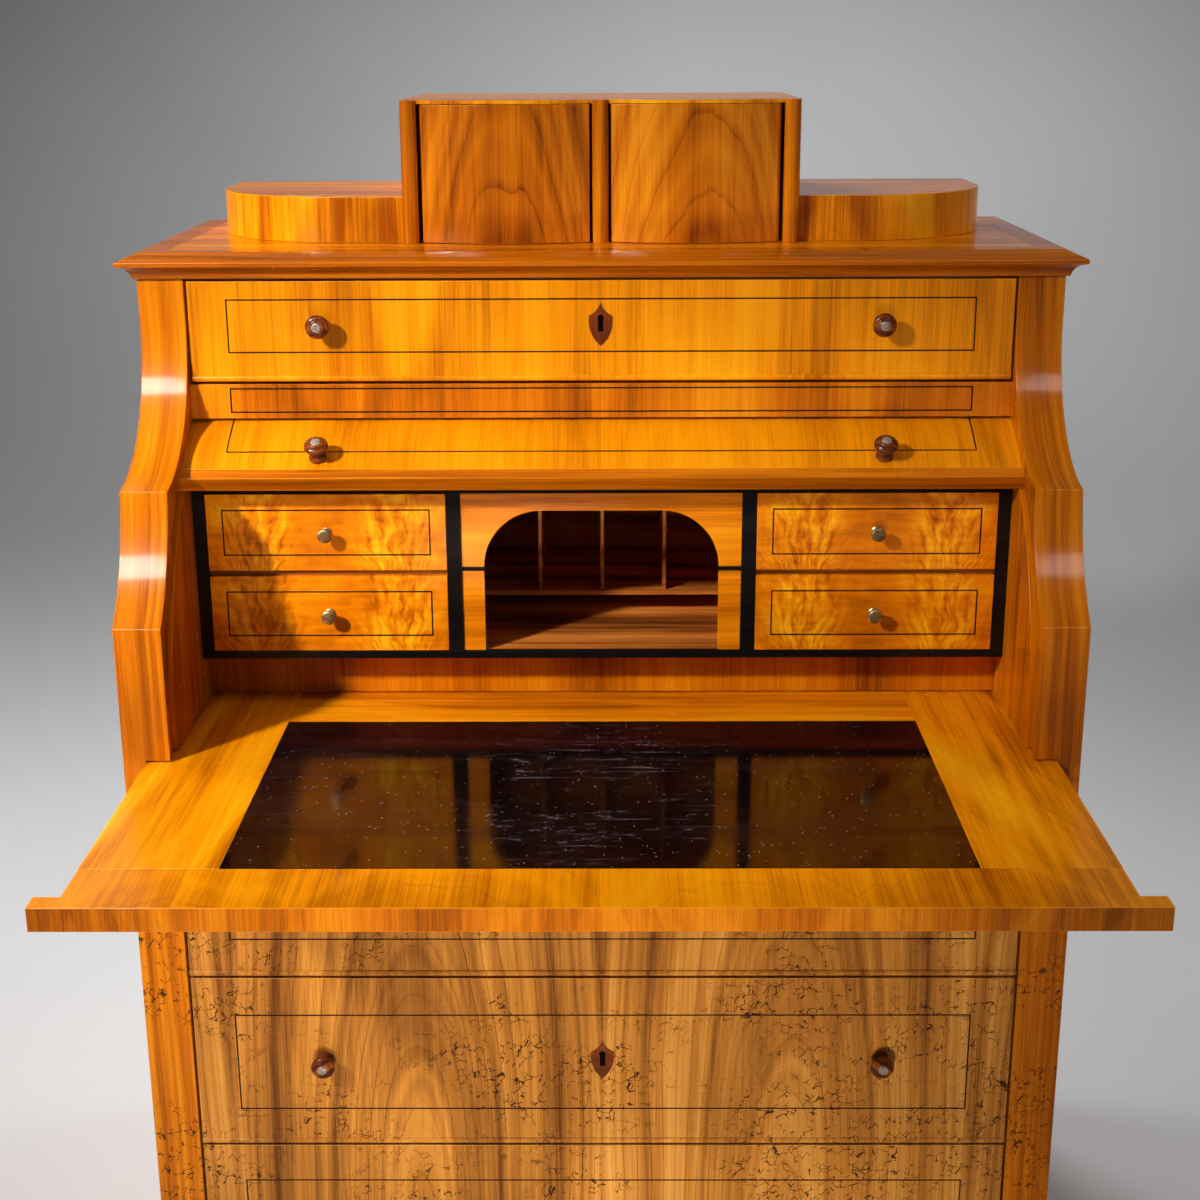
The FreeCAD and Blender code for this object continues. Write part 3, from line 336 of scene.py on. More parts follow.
# Plain straight-grained lengths, the board's rails, and bare softwood.
PLAIN = dict(tilt=0.03, rings=110, contrast=0.35, streaks=0.7)
RAIL = dict(leaf=0.231, pith=0.03, tilt=0.12, rings=80, contrast=0.4)
BARE = dict(palette=PINE, leaf=0.17, rings=130, contrast=0.5, gloss=0.62, coat=0.0)
WOODS = {
    "upper_veneer": dict(
        axes="xzy", palette=HONEY, leaf=0.223, tilt=0.07, rings=60, contrast=0.29, streaks=0.44, lines=0.0
    ),
    "flap_veneer": dict(
        axes="xyz", palette=HONEY, leaf=0.223, pith=0.03, tilt=0.1, rings=60, contrast=0.24, streaks=0.36,
        lines=0.0, roll=ROLL
    ),
    "chest_veneer": dict(
        axes="xzy", palette=BROWN, leaf=0.41, depth=0.105, tilt=0.17, rings=75, wander=0.7, contrast=0.54,
        streaks=0.26, lines=0.26, tracks=1.0, coat=0.15
    ),
    "stile": dict(
        axes="xzy", palette=TAWNY, pith=0.3, tilt=0.03, rings=120, contrast=0.35, streaks=0.6, lines=0.0,
        cut=0.03, wear_and_highlight=0.1
    ),
    "flank": dict(
        axes="yzx", palette=TAWNY, leaf=0.3, tilt=0.06, rings=70, contrast=0.35, streaks=0.6, lines=0.05,
        coat=0.2, wear_and_highlight=0.1
    ),
    "post": dict(
        axes="xzy", palette=RUSSET, pith=0.3, tilt=0.05, rings=120, contrast=0.35, streaks=0.7,
        tracks=1.1, coat=0.2
    ),
    "rail_along": dict(axes="xyz", palette=HONEY, pith=0.15, tilt=0.1, rings=80, contrast=0.4, streaks=0.7),
    "rail_across": dict(RAIL, axes="xyz", palette=HONEY),
    "rail_face": dict(RAIL, axes="xzy", palette=RUSSET),
    "nest_veneer": dict(
        axes="xzy", palette=TAWNY, leaf=0.3, tilt=0.07, rings=60, contrast=0.36, streaks=0.42, lines=0.0
    ),
    "arch_wood": dict(axes="zxy", palette=AMBER, depth=-0.9, tilt=0.05, rings=60, contrast=0.4, lines=0.05),
    "cornice_wood": dict(PLAIN, axes="zxy", palette=UMBER),
    "cornice_end": dict(PLAIN, axes="zyx", palette=UMBER),
    "long_wood": dict(PLAIN, axes="zxy", palette=AMBER),
    "dark_long_wood": dict(PLAIN, axes="zxy", palette=RUSSET),
    "cabinet_veneer": dict(
        axes="xzy", palette=RUSSET, leaf=0.21, pith=0.02, depth=-0.18, tilt=0.16, rings=70, wander=0.85,
        contrast=0.6, lines=0.2
    ),
    "step_veneer": dict(
        axes="xzy", palette=HONEY, leaf=0.16, tilt=0.06, rings=100, contrast=0.4, streaks=0.8
    ),
    "inner_wood": dict(
        axes="zxy", palette=INSIDE, tilt=0.05, rings=90, contrast=0.6, streaks=0.9, gloss=0.42, coat=0.1
    ),
    "softwood": dict(BARE, axes="xyz", tilt=0.1),
    "side_softwood": dict(BARE, axes="xzy", depth=-0.43, tilt=0.06),
    "string": dict(axes="zxy", palette=BLACK, contrast=0.2, gloss=0.35, coat=0.1),
    "ebonised": dict(axes="zxy", palette=EBONY, contrast=0.2, gloss=0.3, coat=0.2),
    "knob_wood": dict(axes="xyz", palette=TURNED, rings=300, gloss=0.22),
    "plate": dict(axes="xzy", palette=PLUM, rings=260, contrast=0.3),
}
MATERIALS = {name: wood(name, **kind) for name, kind in WOODS.items()}


# The figured veneer of the small drawers: how often its markings vary in a metre.
FLAME_BEND = (22.0, 22.0, 22.0)
FLAME_RIPPLE = (26.0, 26.0, 150.0)
FLAME_CLOUD = (16.0, 16.0, 16.0)
FLAME_STROKES = (11.0, 9.0, 3.0)
FLAME = (colour(254, 176, 18), colour(224, 120, 2), colour(134, 58, 1))
FLAME_SEAM = colour(150, 70, 1)
FLAME_STOPS = (0.1, 0.5, 0.9)
FLAME_LEVEL = 0.46
FLAME_CLOUD_WEIGHT = 0.7
FLAME_RIPPLE_WEIGHT = 0.45
FLAME_BUMP = 0.06
# Its spines: their place as a share of a front's width, how they waver, how far below the front their
# strokes would meet, how near a spine the strokes are at full strength, where they have faded, and how
# much they and the spine itself lighten the veneer.
SPINE_PLACE = 0.3
SPINE_SWAY = 30 * MM
SPINE_ROOT = 55 * MM
STROKE_FULL = 12 * MM
STROKE_GONE = 62 * MM
STROKE_LEVEL = 0.46
STROKE_WEIGHT = 2.0
SPINE_WEIGHT = 0.07


def flame_veneer():
    """Figured veneer cut from a fork: pale strokes that fan out from two spines on each drawer."""
    light, middle_tone, dark = FLAME
    shader = Shader("flame_veneer")
    place = shader.place()
    x, _, z = shader.split(place)
    lower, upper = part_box("small_drawer_lower_right_front"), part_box("small_drawer_upper_right_front")
    middle = (lower[0].x + lower[1].x) / 2
    spine = SPINE_PLACE * (lower[1].x - lower[0].x)
    pitch = upper[0].z - lower[0].z
    out = shader.math("SUBTRACT", shader.math("ABSOLUTE", x), middle)
    aside = shader.math("SUBTRACT", shader.math("ABSOLUTE", out), spine)
    row = shader.math("DIVIDE", shader.math("SUBTRACT", z, lower[0].z), pitch)
    up = shader.math("MULTIPLY", shader.math("FRACT", row), pitch)
    aside = shader.sway(aside, shader.noise(place, FLAME_BEND), SPINE_SWAY)
    fan = shader.math("DIVIDE", aside, shader.math("ADD", up, SPINE_ROOT))
    strokes = shader.noise(shader.join(fan, up, row), FLAME_STROKES, 4.0, 0.6)
    near = shader.spread(shader.math("ABSOLUTE", aside), STROKE_FULL, STROKE_GONE, 1.0, 0.0)
    value = shader.sway(FLAME_LEVEL, shader.noise(place, FLAME_CLOUD), FLAME_CLOUD_WEIGHT)
    value = shader.sway(value, shader.noise(place, FLAME_RIPPLE), FLAME_RIPPLE_WEIGHT)
    stroke = shader.math("MULTIPLY", shader.math("SUBTRACT", strokes, STROKE_LEVEL), near)
    value = shader.math("MULTIPLY_ADD", stroke, STROKE_WEIGHT, value)
    value = shader.math("MULTIPLY_ADD", near, SPINE_WEIGHT, value)
    shade = shader.ramp(value, list(zip(FLAME_STOPS, (dark, middle_tone, light))))
    seam = shader.spread(shader.math("ABSOLUTE", out), 0.0, SEAM_WIDTH, SEAM_DARK, 0.0)
    shade = shader.mix(seam, shade, FLAME_SEAM)
    shader.set(Base_Color=shade, Roughness=0.24, Coat_Weight=0.45, **POLISHED)
    shader.bump(strokes, FLAME_BUMP, GRAIN_DEPTH)
    return shader.material


# The writing panel: how often its marks vary in a metre, and its colours.
RUB_CLOUD = (5.0, 9.0, 5.0)
SCRATCHES = (5.0, 210.0, 9.0)
RUBS = (42.0, 95.0, 9.0)
SPECK_CELLS = 190.0
SPECK_CHANCE = (70.0, 70.0, 70.0)
LACQUER = colour(6, 4, 5)
RUBBED_LACQUER = colour(15, 10, 12)
SCUFF_GREY = colour(124, 114, 126)
SPECK_PALE = colour(190, 184, 180)
# The scuffed oval: its reach as a share of the panel's half width and of its whole depth, how it fades
# outward, and what share of its scuffs is found beyond it.
SCUFF_WIDE = 0.42
SCUFF_DEEP = 0.5
SCUFF_FADE = (0.1, 1.2)
SCUFF_BEYOND = 0.1
# The levels of its noise between which each mark comes in.
RUBBED_FROM = (0.42, 0.68)
SCUFFED_FROM = (0.42, 0.56)
SCRATCHED_FROM = (0.6, 0.7)
RUBS_FROM = (0.54, 0.68)
SPECK_EDGE = (0.09, 0.16)
SPECKED_FROM = (0.54, 0.6)
# How far the marks show in its colour, its gloss and its height.
SCUFF_SHOWS = 0.75
SPECK_SHOWS = 0.7
PANEL_ROUGH = 0.09
RUBBED_ROUGH = 0.06
SCUFF_ROUGH = 0.3
MARK_BUMP = 0.1
MARK_DEPTH = 0.1 * MM


def writing_panel():
    """Black lacquer, polished, rubbed grey in the middle, with pale specks."""
    shader = Shader("writing_panel")
    place = shader.place()
    x, y, _ = shader.split(place)
    low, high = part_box("board_panel")
    off = shader.math("DIVIDE", x, SCUFF_WIDE * high.x)
    behind = shader.math("SUBTRACT", y, (low.y + high.y) / 2)
    off_deep = shader.math("DIVIDE", behind, SCUFF_DEEP * (high.y - low.y))
    squares = shader.math("MULTIPLY_ADD", off, off, shader.math("MULTIPLY", off_deep, off_deep))
    middle = shader.spread(squares, *SCUFF_FADE, 1.0, 0.0)
    cloud = shader.noise(place, RUB_CLOUD, 5.0, 0.7)
    rubbed = shader.spread(cloud, *RUBBED_FROM)
    scratches = shader.spread(shader.noise(place, SCRATCHES, 3.0, 0.6), *SCRATCHED_FROM)
    rubs = shader.spread(shader.noise(place, RUBS, 6.0, 0.8), *RUBS_FROM)
    marks = shader.math("MAXIMUM", scratches, rubs)
    scuff = shader.math("MULTIPLY", marks, shader.spread(cloud, *SCUFFED_FROM))
    share = shader.math("MULTIPLY_ADD", middle, 1 - SCUFF_BEYOND, SCUFF_BEYOND)
    scuff = shader.math("MULTIPLY", scuff, share)
    specks = shader.add("ShaderNodeTexVoronoi", {"Vector": place, "Scale": SPECK_CELLS})
    chance = shader.spread(shader.noise(place, SPECK_CHANCE, 1.0), *SPECKED_FROM)
    specks = shader.math("MULTIPLY", shader.spread(specks, *SPECK_EDGE, 1.0, 0.0), chance)
    shade = shader.mix(rubbed, LACQUER, RUBBED_LACQUER)
    shade = shader.mix(shader.math("MULTIPLY", scuff, SCUFF_SHOWS), shade, SCUFF_GREY)
    shade = shader.mix(shader.math("MULTIPLY", specks, SPECK_SHOWS), shade, SPECK_PALE)
    rough = shader.math("MULTIPLY_ADD", rubbed, RUBBED_ROUGH, PANEL_ROUGH)
    rough = shader.math("MULTIPLY_ADD", scuff, SCUFF_ROUGH, rough)
    shader.set(Base_Color=shade, Roughness=rough)
    shader.set(Coat_Weight=0.12, Coat_Roughness=0.08, Specular_IOR_Level=0.36)
    shader.bump(shader.math("ADD", scuff, specks), MARK_BUMP, MARK_DEPTH)
    return shader.material


# How often the marks on small fittings vary in a metre.
TARNISH = (160.0, 160.0, 160.0)
FLECKS = (420.0, 420.0, 420.0)
HOLE_MOTTLE = (600.0, 600.0, 600.0)
BRIGHT_BRASS = colour(196, 170, 120)
DULL_BRASS = colour(128, 102, 62)
TARNISHED_FROM = (0.42, 0.66)
BRASS_ROUGH = 0.36
TARNISH_ROUGH = 0.2
BONE_STOPS = [(0.3, colour(102, 84, 68)), (0.7, colour(176, 158, 138))]
# The painted shade inside a keyhole: near black, mottled a little paler.
HOLE_BLACK = colour(6, 4, 3)
HOLE_PALER_SHADE = colour(20, 13, 8)


def brass():
    """Old turned brass, dull in the hollows."""
    shader = Shader("brass")
    tarnish = shader.spread(shader.noise(shader.place(), TARNISH, 4.0), *TARNISHED_FROM)
    shade = shader.mix(tarnish, BRIGHT_BRASS, DULL_BRASS)
    rough = shader.math("MULTIPLY_ADD", tarnish, TARNISH_ROUGH, BRASS_ROUGH)
    shader.set(Base_Color=shade, Roughness=rough, Metallic=1.0)
    return shader.material


def bone():
    """The pale eye in the middle of a turned knob."""
    shader = Shader("bone")
    fleck = shader.noise(shader.place(), FLECKS)
    shade = shader.ramp(fleck, BONE_STOPS)
    shader.set(Base_Color=shade, Roughness=0.4, Coat_Weight=0.2)
    return shader.material


def dark_hole():
    """Painted shade for the unlit inside of a keyhole, mottled a little."""
    shader = Shader("dark_hole")
    mottle = shader.noise(shader.place(), HOLE_MOTTLE, 2.0)
    shade = shader.mix(mottle, HOLE_BLACK, HOLE_PALER_SHADE)
    shader.set(Base_Color=shade, Roughness=0.9, Specular_IOR_Level=0.0)
    return shader.material


MATERIALS["flame_veneer"] = flame_veneer()
MATERIALS["writing_panel"] = writing_panel()
MATERIALS["brass"] = brass()
MATERIALS["bone"] = bone()
MATERIALS["dark_hole"] = dark_hole()


def new_object(name, mesh, body, materials):
    """Put a finished mesh in the scene, on its body, with its materials."""
    piece = bpy.data.objects.new(name, mesh)
    bpy.context.scene.collection.objects.link(piece)
    for material in materials:
        mesh.materials.append(MATERIALS[material])
    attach(piece, body)
    return piece


def even_normals(work):
    """Corner normals led by the larger faces, so that an eased edge leaves a flat face flat."""
    work.normal_update()
    area = {face: face.calc_area() for face in work.faces}
    normals = []
    for face in work.faces:
        for corner in face.loops:
            total = face.normal * area[face]
            for near in corner.vert.link_faces:
                if near is not face and near.normal.dot(face.normal) > SMOOTH:
                    total = total + near.normal * area[near]
            normals.append(total.normalized())
    return normals


def face_groups(work):
    """The faces in groups that are joined through edges which just two faces share."""
    seen = set()
    groups = []
    for first in work.faces:
        if first in seen:
            continue
        seen.add(first)
        group = [first]
        for face in group:
            for edge in face.edges:
                near = [f for f in edge.link_faces if f not in seen and len(edge.link_faces) == 2]
                seen.update(near)
                group.extend(near)
        groups.append(group)
    return groups


def set_apart(work):
    """Take out the faces that two solids share, and give each solid its own corners where it only
    touches the next. Returns the layer that marks the edges along which solids touch."""
    work.normal_update()
    shared = []
    for group in face_groups(work):
        if all(face.normal.dot(group[0].normal) > ONE_PLANE for face in group):
            shared.extend(group)
    bmesh.ops.delete(work, geom=shared, context="FACES")
    touching = work.edges.layers.int.new("touching")
    for edge in work.edges:
        edge[touching] = int(len(edge.link_faces) > 2)
    for solid in face_groups(work)[1:]:
        bmesh.ops.split(work, geom=solid)
    return touching


# A slanting direction, along which hardly any two faces lie level.
ORDER = Vector((0.3127, 0.5719, 0.7583))


def steady_order(work):
    """Put the corners, edges and faces in an order that is the same in every run."""
    work.verts.sort(key=lambda vert: vert.co.dot(ORDER))
    work.edges.sort(key=lambda edge: (edge.verts[0].co + edge.verts[1].co).dot(ORDER))
    work.faces.sort(key=lambda face: face.calc_center_median().dot(ORDER))


# An edge lies flush against the next piece when it is no further from it than this.
FLUSH_PLAY = 0.2 * MM


def softened(node, materials, width=EDGE, choose=None, cut=None, flush=None):
    """The node's own shape with its sharp edges eased, as hand-finished wood has them, but not those
    along which two solids touch or that lie flush against the next piece, flush from the middle.
    choose picks a face's material by its middle and normal, after a level cut where one is given."""
    work = bmesh.new()
    work.from_mesh(nodes[node].data)
    bmesh.ops.remove_doubles(work, verts=work.verts, dist=SAME_POINT)
    touching = set_apart(work)
    bmesh.ops.dissolve_limit(
        work, angle_limit=LEVEL_TURN, verts=work.verts, edges=work.edges, delimit={"NORMAL"}
    )
    # Marks the eased faces, which the woods paint paler, partly for wear and partly as a painted highlight.
    wear_and_highlight = work.faces.layers.float.new("wear_and_highlight")
    convex = [e for e in work.edges if e.is_convex and not e[touching]]
    sharp = [e for e in convex if e.calc_face_angle(0) > SHARP]
    if flush:
        sharp = [e for e in sharp if any(abs(abs(v.co.x) - flush) > FLUSH_PLAY for v in e.verts)]
    eased = bmesh.ops.bevel(
        work, geom=sharp, offset=width, offset_type="OFFSET", segments=2, profile=0.5, affect="EDGES",
        clamp_overlap=True
    )
    for face in work.faces:
        face.smooth = True
    for face in eased["faces"]:
        face[wear_and_highlight] = 1.0
    if cut:
        whole = work.verts[:] + work.edges[:] + work.faces[:]
        bmesh.ops.bisect_plane(work, geom=whole, plane_co=(0, 0, cut), plane_no=(0, 0, 1))
    if choose:
        for face in work.faces:
            face.material_index = choose(face.calc_center_median(), face.normal)
    steady_order(work)
    mesh = bpy.data.meshes.new(f"{node}_eased")
    work.to_mesh(mesh)
    mesh.normals_split_custom_set(even_normals(work))
    work.free()
    piece = new_object(f"{node}_eased", mesh, body_of[node], materials)
    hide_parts(node)


def dressed(node, material):
    """A node that keeps its own mesh and only takes a material."""
    nodes[node].data.materials.clear()
    nodes[node].data.materials.append(MATERIALS[material])


def lathe(work, profile, origin, direction, steps, indices):
    """Turn a profile of (radius, distance) round an axis. The profile starts and ends on the axis, and
    indices gives the material of each of its stretches."""
    turn = Vector((0, 0, 1)).rotation_difference(Vector(direction)).to_matrix()
    rows = []
    for radius, distance in profile:
        count = steps if radius > 0 else 1
        row = []
        for step in range(count):
            angle = 2 * math.pi * step / steps
            spot = Vector((radius * math.cos(angle), radius * math.sin(angle), distance))
            row.append(work.verts.new(turn @ spot + Vector(origin)))
        rows.append(row)
    for number, (first, second) in enumerate(zip(rows, rows[1:])):
        for step in range(steps):
            after = (step + 1) % steps
            ring = [first[step % len(first)], first[after % len(first)]]
            ring += [second[after % len(second)], second[step % len(second)]]
            face = work.faces.new(list(dict.fromkeys(ring)))
            face.smooth = True
            face.material_index = indices[number]


def finish_mesh(work, name, sharp=40):
    """A mesh from the work, with edges that turn by more than sharp degrees kept crisp."""
    bmesh.ops.recalc_face_normals(work, faces=work.faces)
    mesh = bpy.data.meshes.new(name)
    work.to_mesh(mesh)
    work.free()
    mesh.set_sharp_from_angle(angle=math.radians(sharp))
    return mesh


# The turned knobs in millimetres: radius and distance from the face they are fixed to.
KNOB_WOOD = (
    (0, 0), (9.5, 0), (9.5, 1.5), (9.3, 3.5), (8.4, 5.5), (7, 7), (5.8, 8.2), (5.4, 9.6), (5.8, 11),
    (7.2, 12.2), (9.6, 13.6), (11.8, 15.2), (12.9, 17), (13, 18.4), (12.6, 19.8), (11.6, 21), (10.6, 21.8),
    (9.9, 22.1), (9.6, 21.7), (9.1, 22.4), (8.2, 23.6), (7.4, 24.2), (6.4, 24.4), (5.6, 23.9), (5.2, 24.4),
)
KNOB_EYE = ((4.2, 24.9), (2.2, 25.2), (0.8, 25.2), (0.6, 24.8), (0, 24.8))
KNOB = KNOB_WOOD + KNOB_EYE
EYE_STARTS = len(KNOB_WOOD) - 1
KNOB_HALF = 13 * MM
KNOB_STEPS = 32
KNOB_CRISP = 50
SMALL_KNOB = (
    (0, 0), (6, 0), (6.1, 1), (5, 1.8), (3.8, 3), (3.6, 6), (4, 9), (5.6, 11.6), (7.4, 12.8), (8, 13.8),
    (8, 15.6), (7.8, 16.6), (7.2, 17.2), (5.6, 17.5), (3, 17.7), (0, 17.8),
)


def turned_knobs(node, spots, direction, profile, materials, eye=None):
    """The turned knobs that stand for a node, at the given spots. The stretches of the profile from eye
    on have the second material."""
    work = bmesh.new()
    steps = len(profile) - 1
    indices = [0 if eye is None or number < eye else 1 for number in range(steps)]
    scaled = [(radius * MM, distance * MM) for radius, distance in profile]
    for spot in spots:
        lathe(work, scaled, spot, direction, KNOB_STEPS, indices)
    mesh = finish_mesh(work, f"{node}_turned", KNOB_CRISP)
    piece = new_object(f"{node}_turned", mesh, body_of[node], materials)
    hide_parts(node)


def prism(work, outline, lift, back):
    """A thin plate between two offset copies of a closed outline of points."""
    front = [work.verts.new(point + lift) for point in outline]
    rear = [work.verts.new(point + back) for point in outline]
    work.faces.new(front)
    work.faces.new(list(reversed(rear)))
    for index in range(len(outline)):
        after = (index + 1) % len(outline)
        work.faces.new([front[index], rear[index], rear[after], front[after]])


def string_frame(name, body, x, z, y):
    """A rectangle of black stringing let into an upright face."""
    work = bmesh.new()
    half = STRING_WIDTH / 2
    lift, back = Vector((0, -STRING_PROUD, 0)), Vector((0, STRING_PROUD, 0))
    (left, right), (low, high) = x, z
    bars = [
        (left - half, right + half, low - half, low + half),
        (left - half, right + half, high - half, high + half),
        (left - half, left + half, low + half, high - half),
        (right - half, right + half, low + half, high - half),
    ]
    for x0, x1, z0, z1 in bars:
        corners = [Vector((x0, y, z0)), Vector((x1, y, z0)), Vector((x1, y, z1)), Vector((x0, y, z1))]
        prism(work, corners, lift, back)
    new_object(name, finish_mesh(work, name), body, ["string"])


# Camera: fitted to the photograph's own vanishing lines.
CAMERA_PLACE = (0.0143, -1.911, 1.477)
CAMERA_PITCH = math.radians(16.94)
CAMERA_YAW = math.radians(0.47)
CAMERA_ROLL = math.radians(-0.267)
CAMERA_LENS = 55.09
CAMERA_SENSOR = 36.0
camera_data = bpy.data.cameras.new("camera")
camera_data.lens = CAMERA_LENS
camera_data.sensor_width = CAMERA_SENSOR
camera = bpy.data.objects.new("camera", camera_data)
bpy.context.scene.collection.objects.link(camera)
camera.matrix_world = (
    Matrix.Translation(CAMERA_PLACE)
    @ Matrix.Rotation(CAMERA_YAW, 4, "Z")
    @ Matrix.Rotation(math.pi / 2 - CAMERA_PITCH, 4, "X")
    @ Matrix.Rotation(CAMERA_ROLL, 4, "Z")
)
bpy.context.scene.camera = camera

# Wooden pieces with eased edges.
BOARD_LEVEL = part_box("board_panel")[0].z
SIDE_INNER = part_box("side_right")[0].x
# A front face of a side leans forward by at least this share, and a cornice's ends begin this far out.
LEANING = 0.3
CORNICE_END = 0.46


def side_face(spot, normal):
    """Which of a side's three woods a face has."""
    if abs(normal.x) > FACING:
        return 2
    return int(spot.z < BOARD_LEVEL and normal.y < -LEANING)


def front_face(spot, normal):
    """The second wood on faces that look straight ahead."""
    return int(normal.y < -FACING)


def upright_face(spot, normal):
    """The second wood on faces that look ahead or back."""
    return int(abs(normal.y) > FACING)


def level_face(spot, normal):
    """The second wood on faces that look up or down."""
    return int(abs(normal.z) > FACING)


def cornice_face(spot, normal):
    """The second wood on the cornice's two ends."""
    return int(abs(spot.x) > CORNICE_END and abs(normal.x) > abs(normal.y))


for name in ("cheek_left", "cheek_right", "side_left", "side_right"):
    softened(name, ["stile", "post", "flank"], choose=side_face, cut=BOARD_LEVEL, flush=SIDE_INNER)
softened("corner_posts", ["post"], flush=SIDE_INNER)
softened("drawer_bearers", ["softwood", "post"], width=0.3 * MM, choose=front_face)
for name in ("feet", "base"):
    softened(name, ["post"])
softened("frieze", ["nest_veneer"], width=FINE_EDGE)
softened("riser", ["nest_veneer"], width=FINE_EDGE)
softened("arch_panel", ["arch_wood"], width=FINE_EDGE)
softened("nest_face_frame", ["ebonised"], width=0.4 * MM)
softened("nest_drawer_shelves", ["inner_wood"], width=0.4 * MM)
softened("cornice", ["cornice_wood", "cornice_end"], choose=cornice_face)
softened("top_board", ["long_wood"])
for name in ("top_steps", "cabinet_case"):
    softened(name, ["step_veneer", "long_wood"], choose=level_face)
softened("cabinet_columns", ["stile"], width=0.4 * MM)
softened("cabinet_door_left", ["cabinet_veneer"], width=0.7 * MM)
softened("cabinet_door_right", ["cabinet_veneer"], width=0.7 * MM)
softened("board_front_rail", ["rail_across", "rail_face"], width=1.2 * MM, choose=upright_face)
softened("board_side_rails", ["rail_along"], width=FINE_EDGE)
softened("board_back_rail", ["long_wood"], width=FINE_EDGE)
softened("board_panel", ["writing_panel"], width=0.3 * MM)
softened("flap_shell", ["flap_veneer"], width=FINE_EDGE)
softened("flap_lip", ["dark_long_wood"], width=0.8 * MM)
for name in ("nest_case", "letter_rack"):
    dressed(name, "inner_wood")
dressed("dust_board", "softwood")
dressed("back_panel", "side_softwood")

LARGE = ("top_drawer", "drawer_1", "drawer_2", "drawer_3")
SMALL = [f"small_drawer_{row}_{side}" for row in ("upper", "lower") for side in ("left", "right")]
for name in LARGE:
    softened(f"{name}_front", ["upper_veneer" if name == "top_drawer" else "chest_veneer"])
    softened(f"{name}_escutcheon", ["plate"], width=0.15 * MM)
    dressed(f"{name}_tray", "softwood")
for name in SMALL:
    softened(f"{name}_front", ["flame_veneer"], width=0.6 * MM)
    dressed(f"{name}_tray", "softwood")

# Knobs.
FORWARD = Vector((0, -1, 0))
for name in LARGE:
    low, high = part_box(f"{name}_knobs")
    height = (low.z + high.z) / 2
    spots = [(way * (high.x - KNOB_HALF), high.y, height) for way in (-1, 1)]
    turned_knobs(f"{name}_knobs", spots, FORWARD, KNOB, ["knob_wood", "bone"], EYE_STARTS)
for name in SMALL:
    low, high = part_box(f"{name}_knob")
    spot = ((low.x + high.x) / 2, high.y, (low.z + high.z) / 2)
    turned_knobs(f"{name}_knob", [spot], FORWARD, SMALL_KNOB, ["brass"])


# The flap's knobs and stringing lie on its cylinder.
def on_roll(x, angle, out=0.0):
    """A point on the flap's outer face, at an angle above straight ahead."""
    turn = math.radians(angle)
    reach = ROLL_RADIUS + out
    return Vector((x, ROLL.y - reach * math.cos(turn), ROLL.z + reach * math.sin(turn)))


knob_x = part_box("flap_knobs")[1].x - KNOB_HALF
outward = on_roll(0, KNOB_ANGLE, 1.0) - on_roll(0, KNOB_ANGLE)
spots = [on_roll(way * knob_x, KNOB_ANGLE) for way in (-1, 1)]
turned_knobs("flap_knobs", spots, outward, KNOB, ["knob_wood", "bone"], EYE_STARTS)


def roll_strip(work, x0, x1, start, end, steps):
    """A strip of stringing on the flap between two places across and two angles."""
    corners = ((x0, -STRING_PROUD), (x0, STRING_PROUD), (x1, STRING_PROUD), (x1, -STRING_PROUD))
    rows = []
    for step in range(steps + 1):
        angle = start + (end - start) * step / steps
        rows.append([work.verts.new(on_roll(x, angle, out)) for x, out in corners])
    for first, second in zip(rows, rows[1:]):
        for index in range(4):
            after = (index + 1) % 4
            work.faces.new([first[index], first[after], second[after], second[index]])
    work.faces.new(rows[0])
    work.faces.new(list(reversed(rows[-1])))


# The stringing on the flap: half its length across, its rise from the lower edge and its upper end.
FLAP_REACH = 0.405
FLAP_RISE = 39 * MM
FLAP_STRING_TOP = 116.5
FLAP_STRING_STEPS = 40
strip_angle = math.degrees(STRING_WIDTH / ROLL_RADIUS)
low_angle = OPEN_ANGLE + math.degrees(FLAP_RISE / ROLL_RADIUS)
work = bmesh.new()
for angle in (low_angle, FLAP_STRING_TOP):
    roll_strip(work, -FLAP_REACH, FLAP_REACH, angle - strip_angle / 2, angle + strip_angle / 2, 1)
for way in (-1, 1):
    left, right = way * FLAP_REACH - STRING_WIDTH / 2, way * FLAP_REACH + STRING_WIDTH / 2
    roll_strip(work, left, right, low_angle, FLAP_STRING_TOP, FLAP_STRING_STEPS)
new_object("flap_string", finish_mesh(work, "flap_string"), "flap", ["string"])

# The stringing on flat faces: half its length across, and its distances from a front's edges.
TOP_REACH = 0.405
TOP_LOW = 32 * MM
TOP_HIGH = 20 * MM
FRIEZE_REACH = 0.406
FRIEZE_LOW = 7 * MM
FRIEZE_HIGH = 5 * MM
CHEST_REACH = 0.401
CHEST_LOW = 44 * MM
CHEST_HIGH = 160 * MM
SMALL_INSET = 18 * MM
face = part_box("frieze")[0].y
low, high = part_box("top_drawer_front")
up = (low.z + TOP_LOW, high.z - TOP_HIGH)
string_frame("top_drawer_string", "top_drawer", (-TOP_REACH, TOP_REACH), up, face)
low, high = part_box("frieze")
up = (low.z + FRIEZE_LOW, high.z - FRIEZE_HIGH)
string_frame("frieze_string", "case", (-FRIEZE_REACH, FRIEZE_REACH), up, face)
chest_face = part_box("corner_posts")[0].y
for name in LARGE[1:]:
    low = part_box(f"{name}_front")[0]
    up = (low.z + CHEST_LOW, low.z + CHEST_HIGH)
    string_frame(f"{name}_string", name, (-CHEST_REACH, CHEST_REACH), up, chest_face)
for name in SMALL:
    low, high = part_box(f"{name}_front")
    across = (low.x + SMALL_INSET, high.x - SMALL_INSET)
    up = (low.z + SMALL_INSET, high.z - SMALL_INSET)
    string_frame(f"{name}_string", name, across, up, low.y)
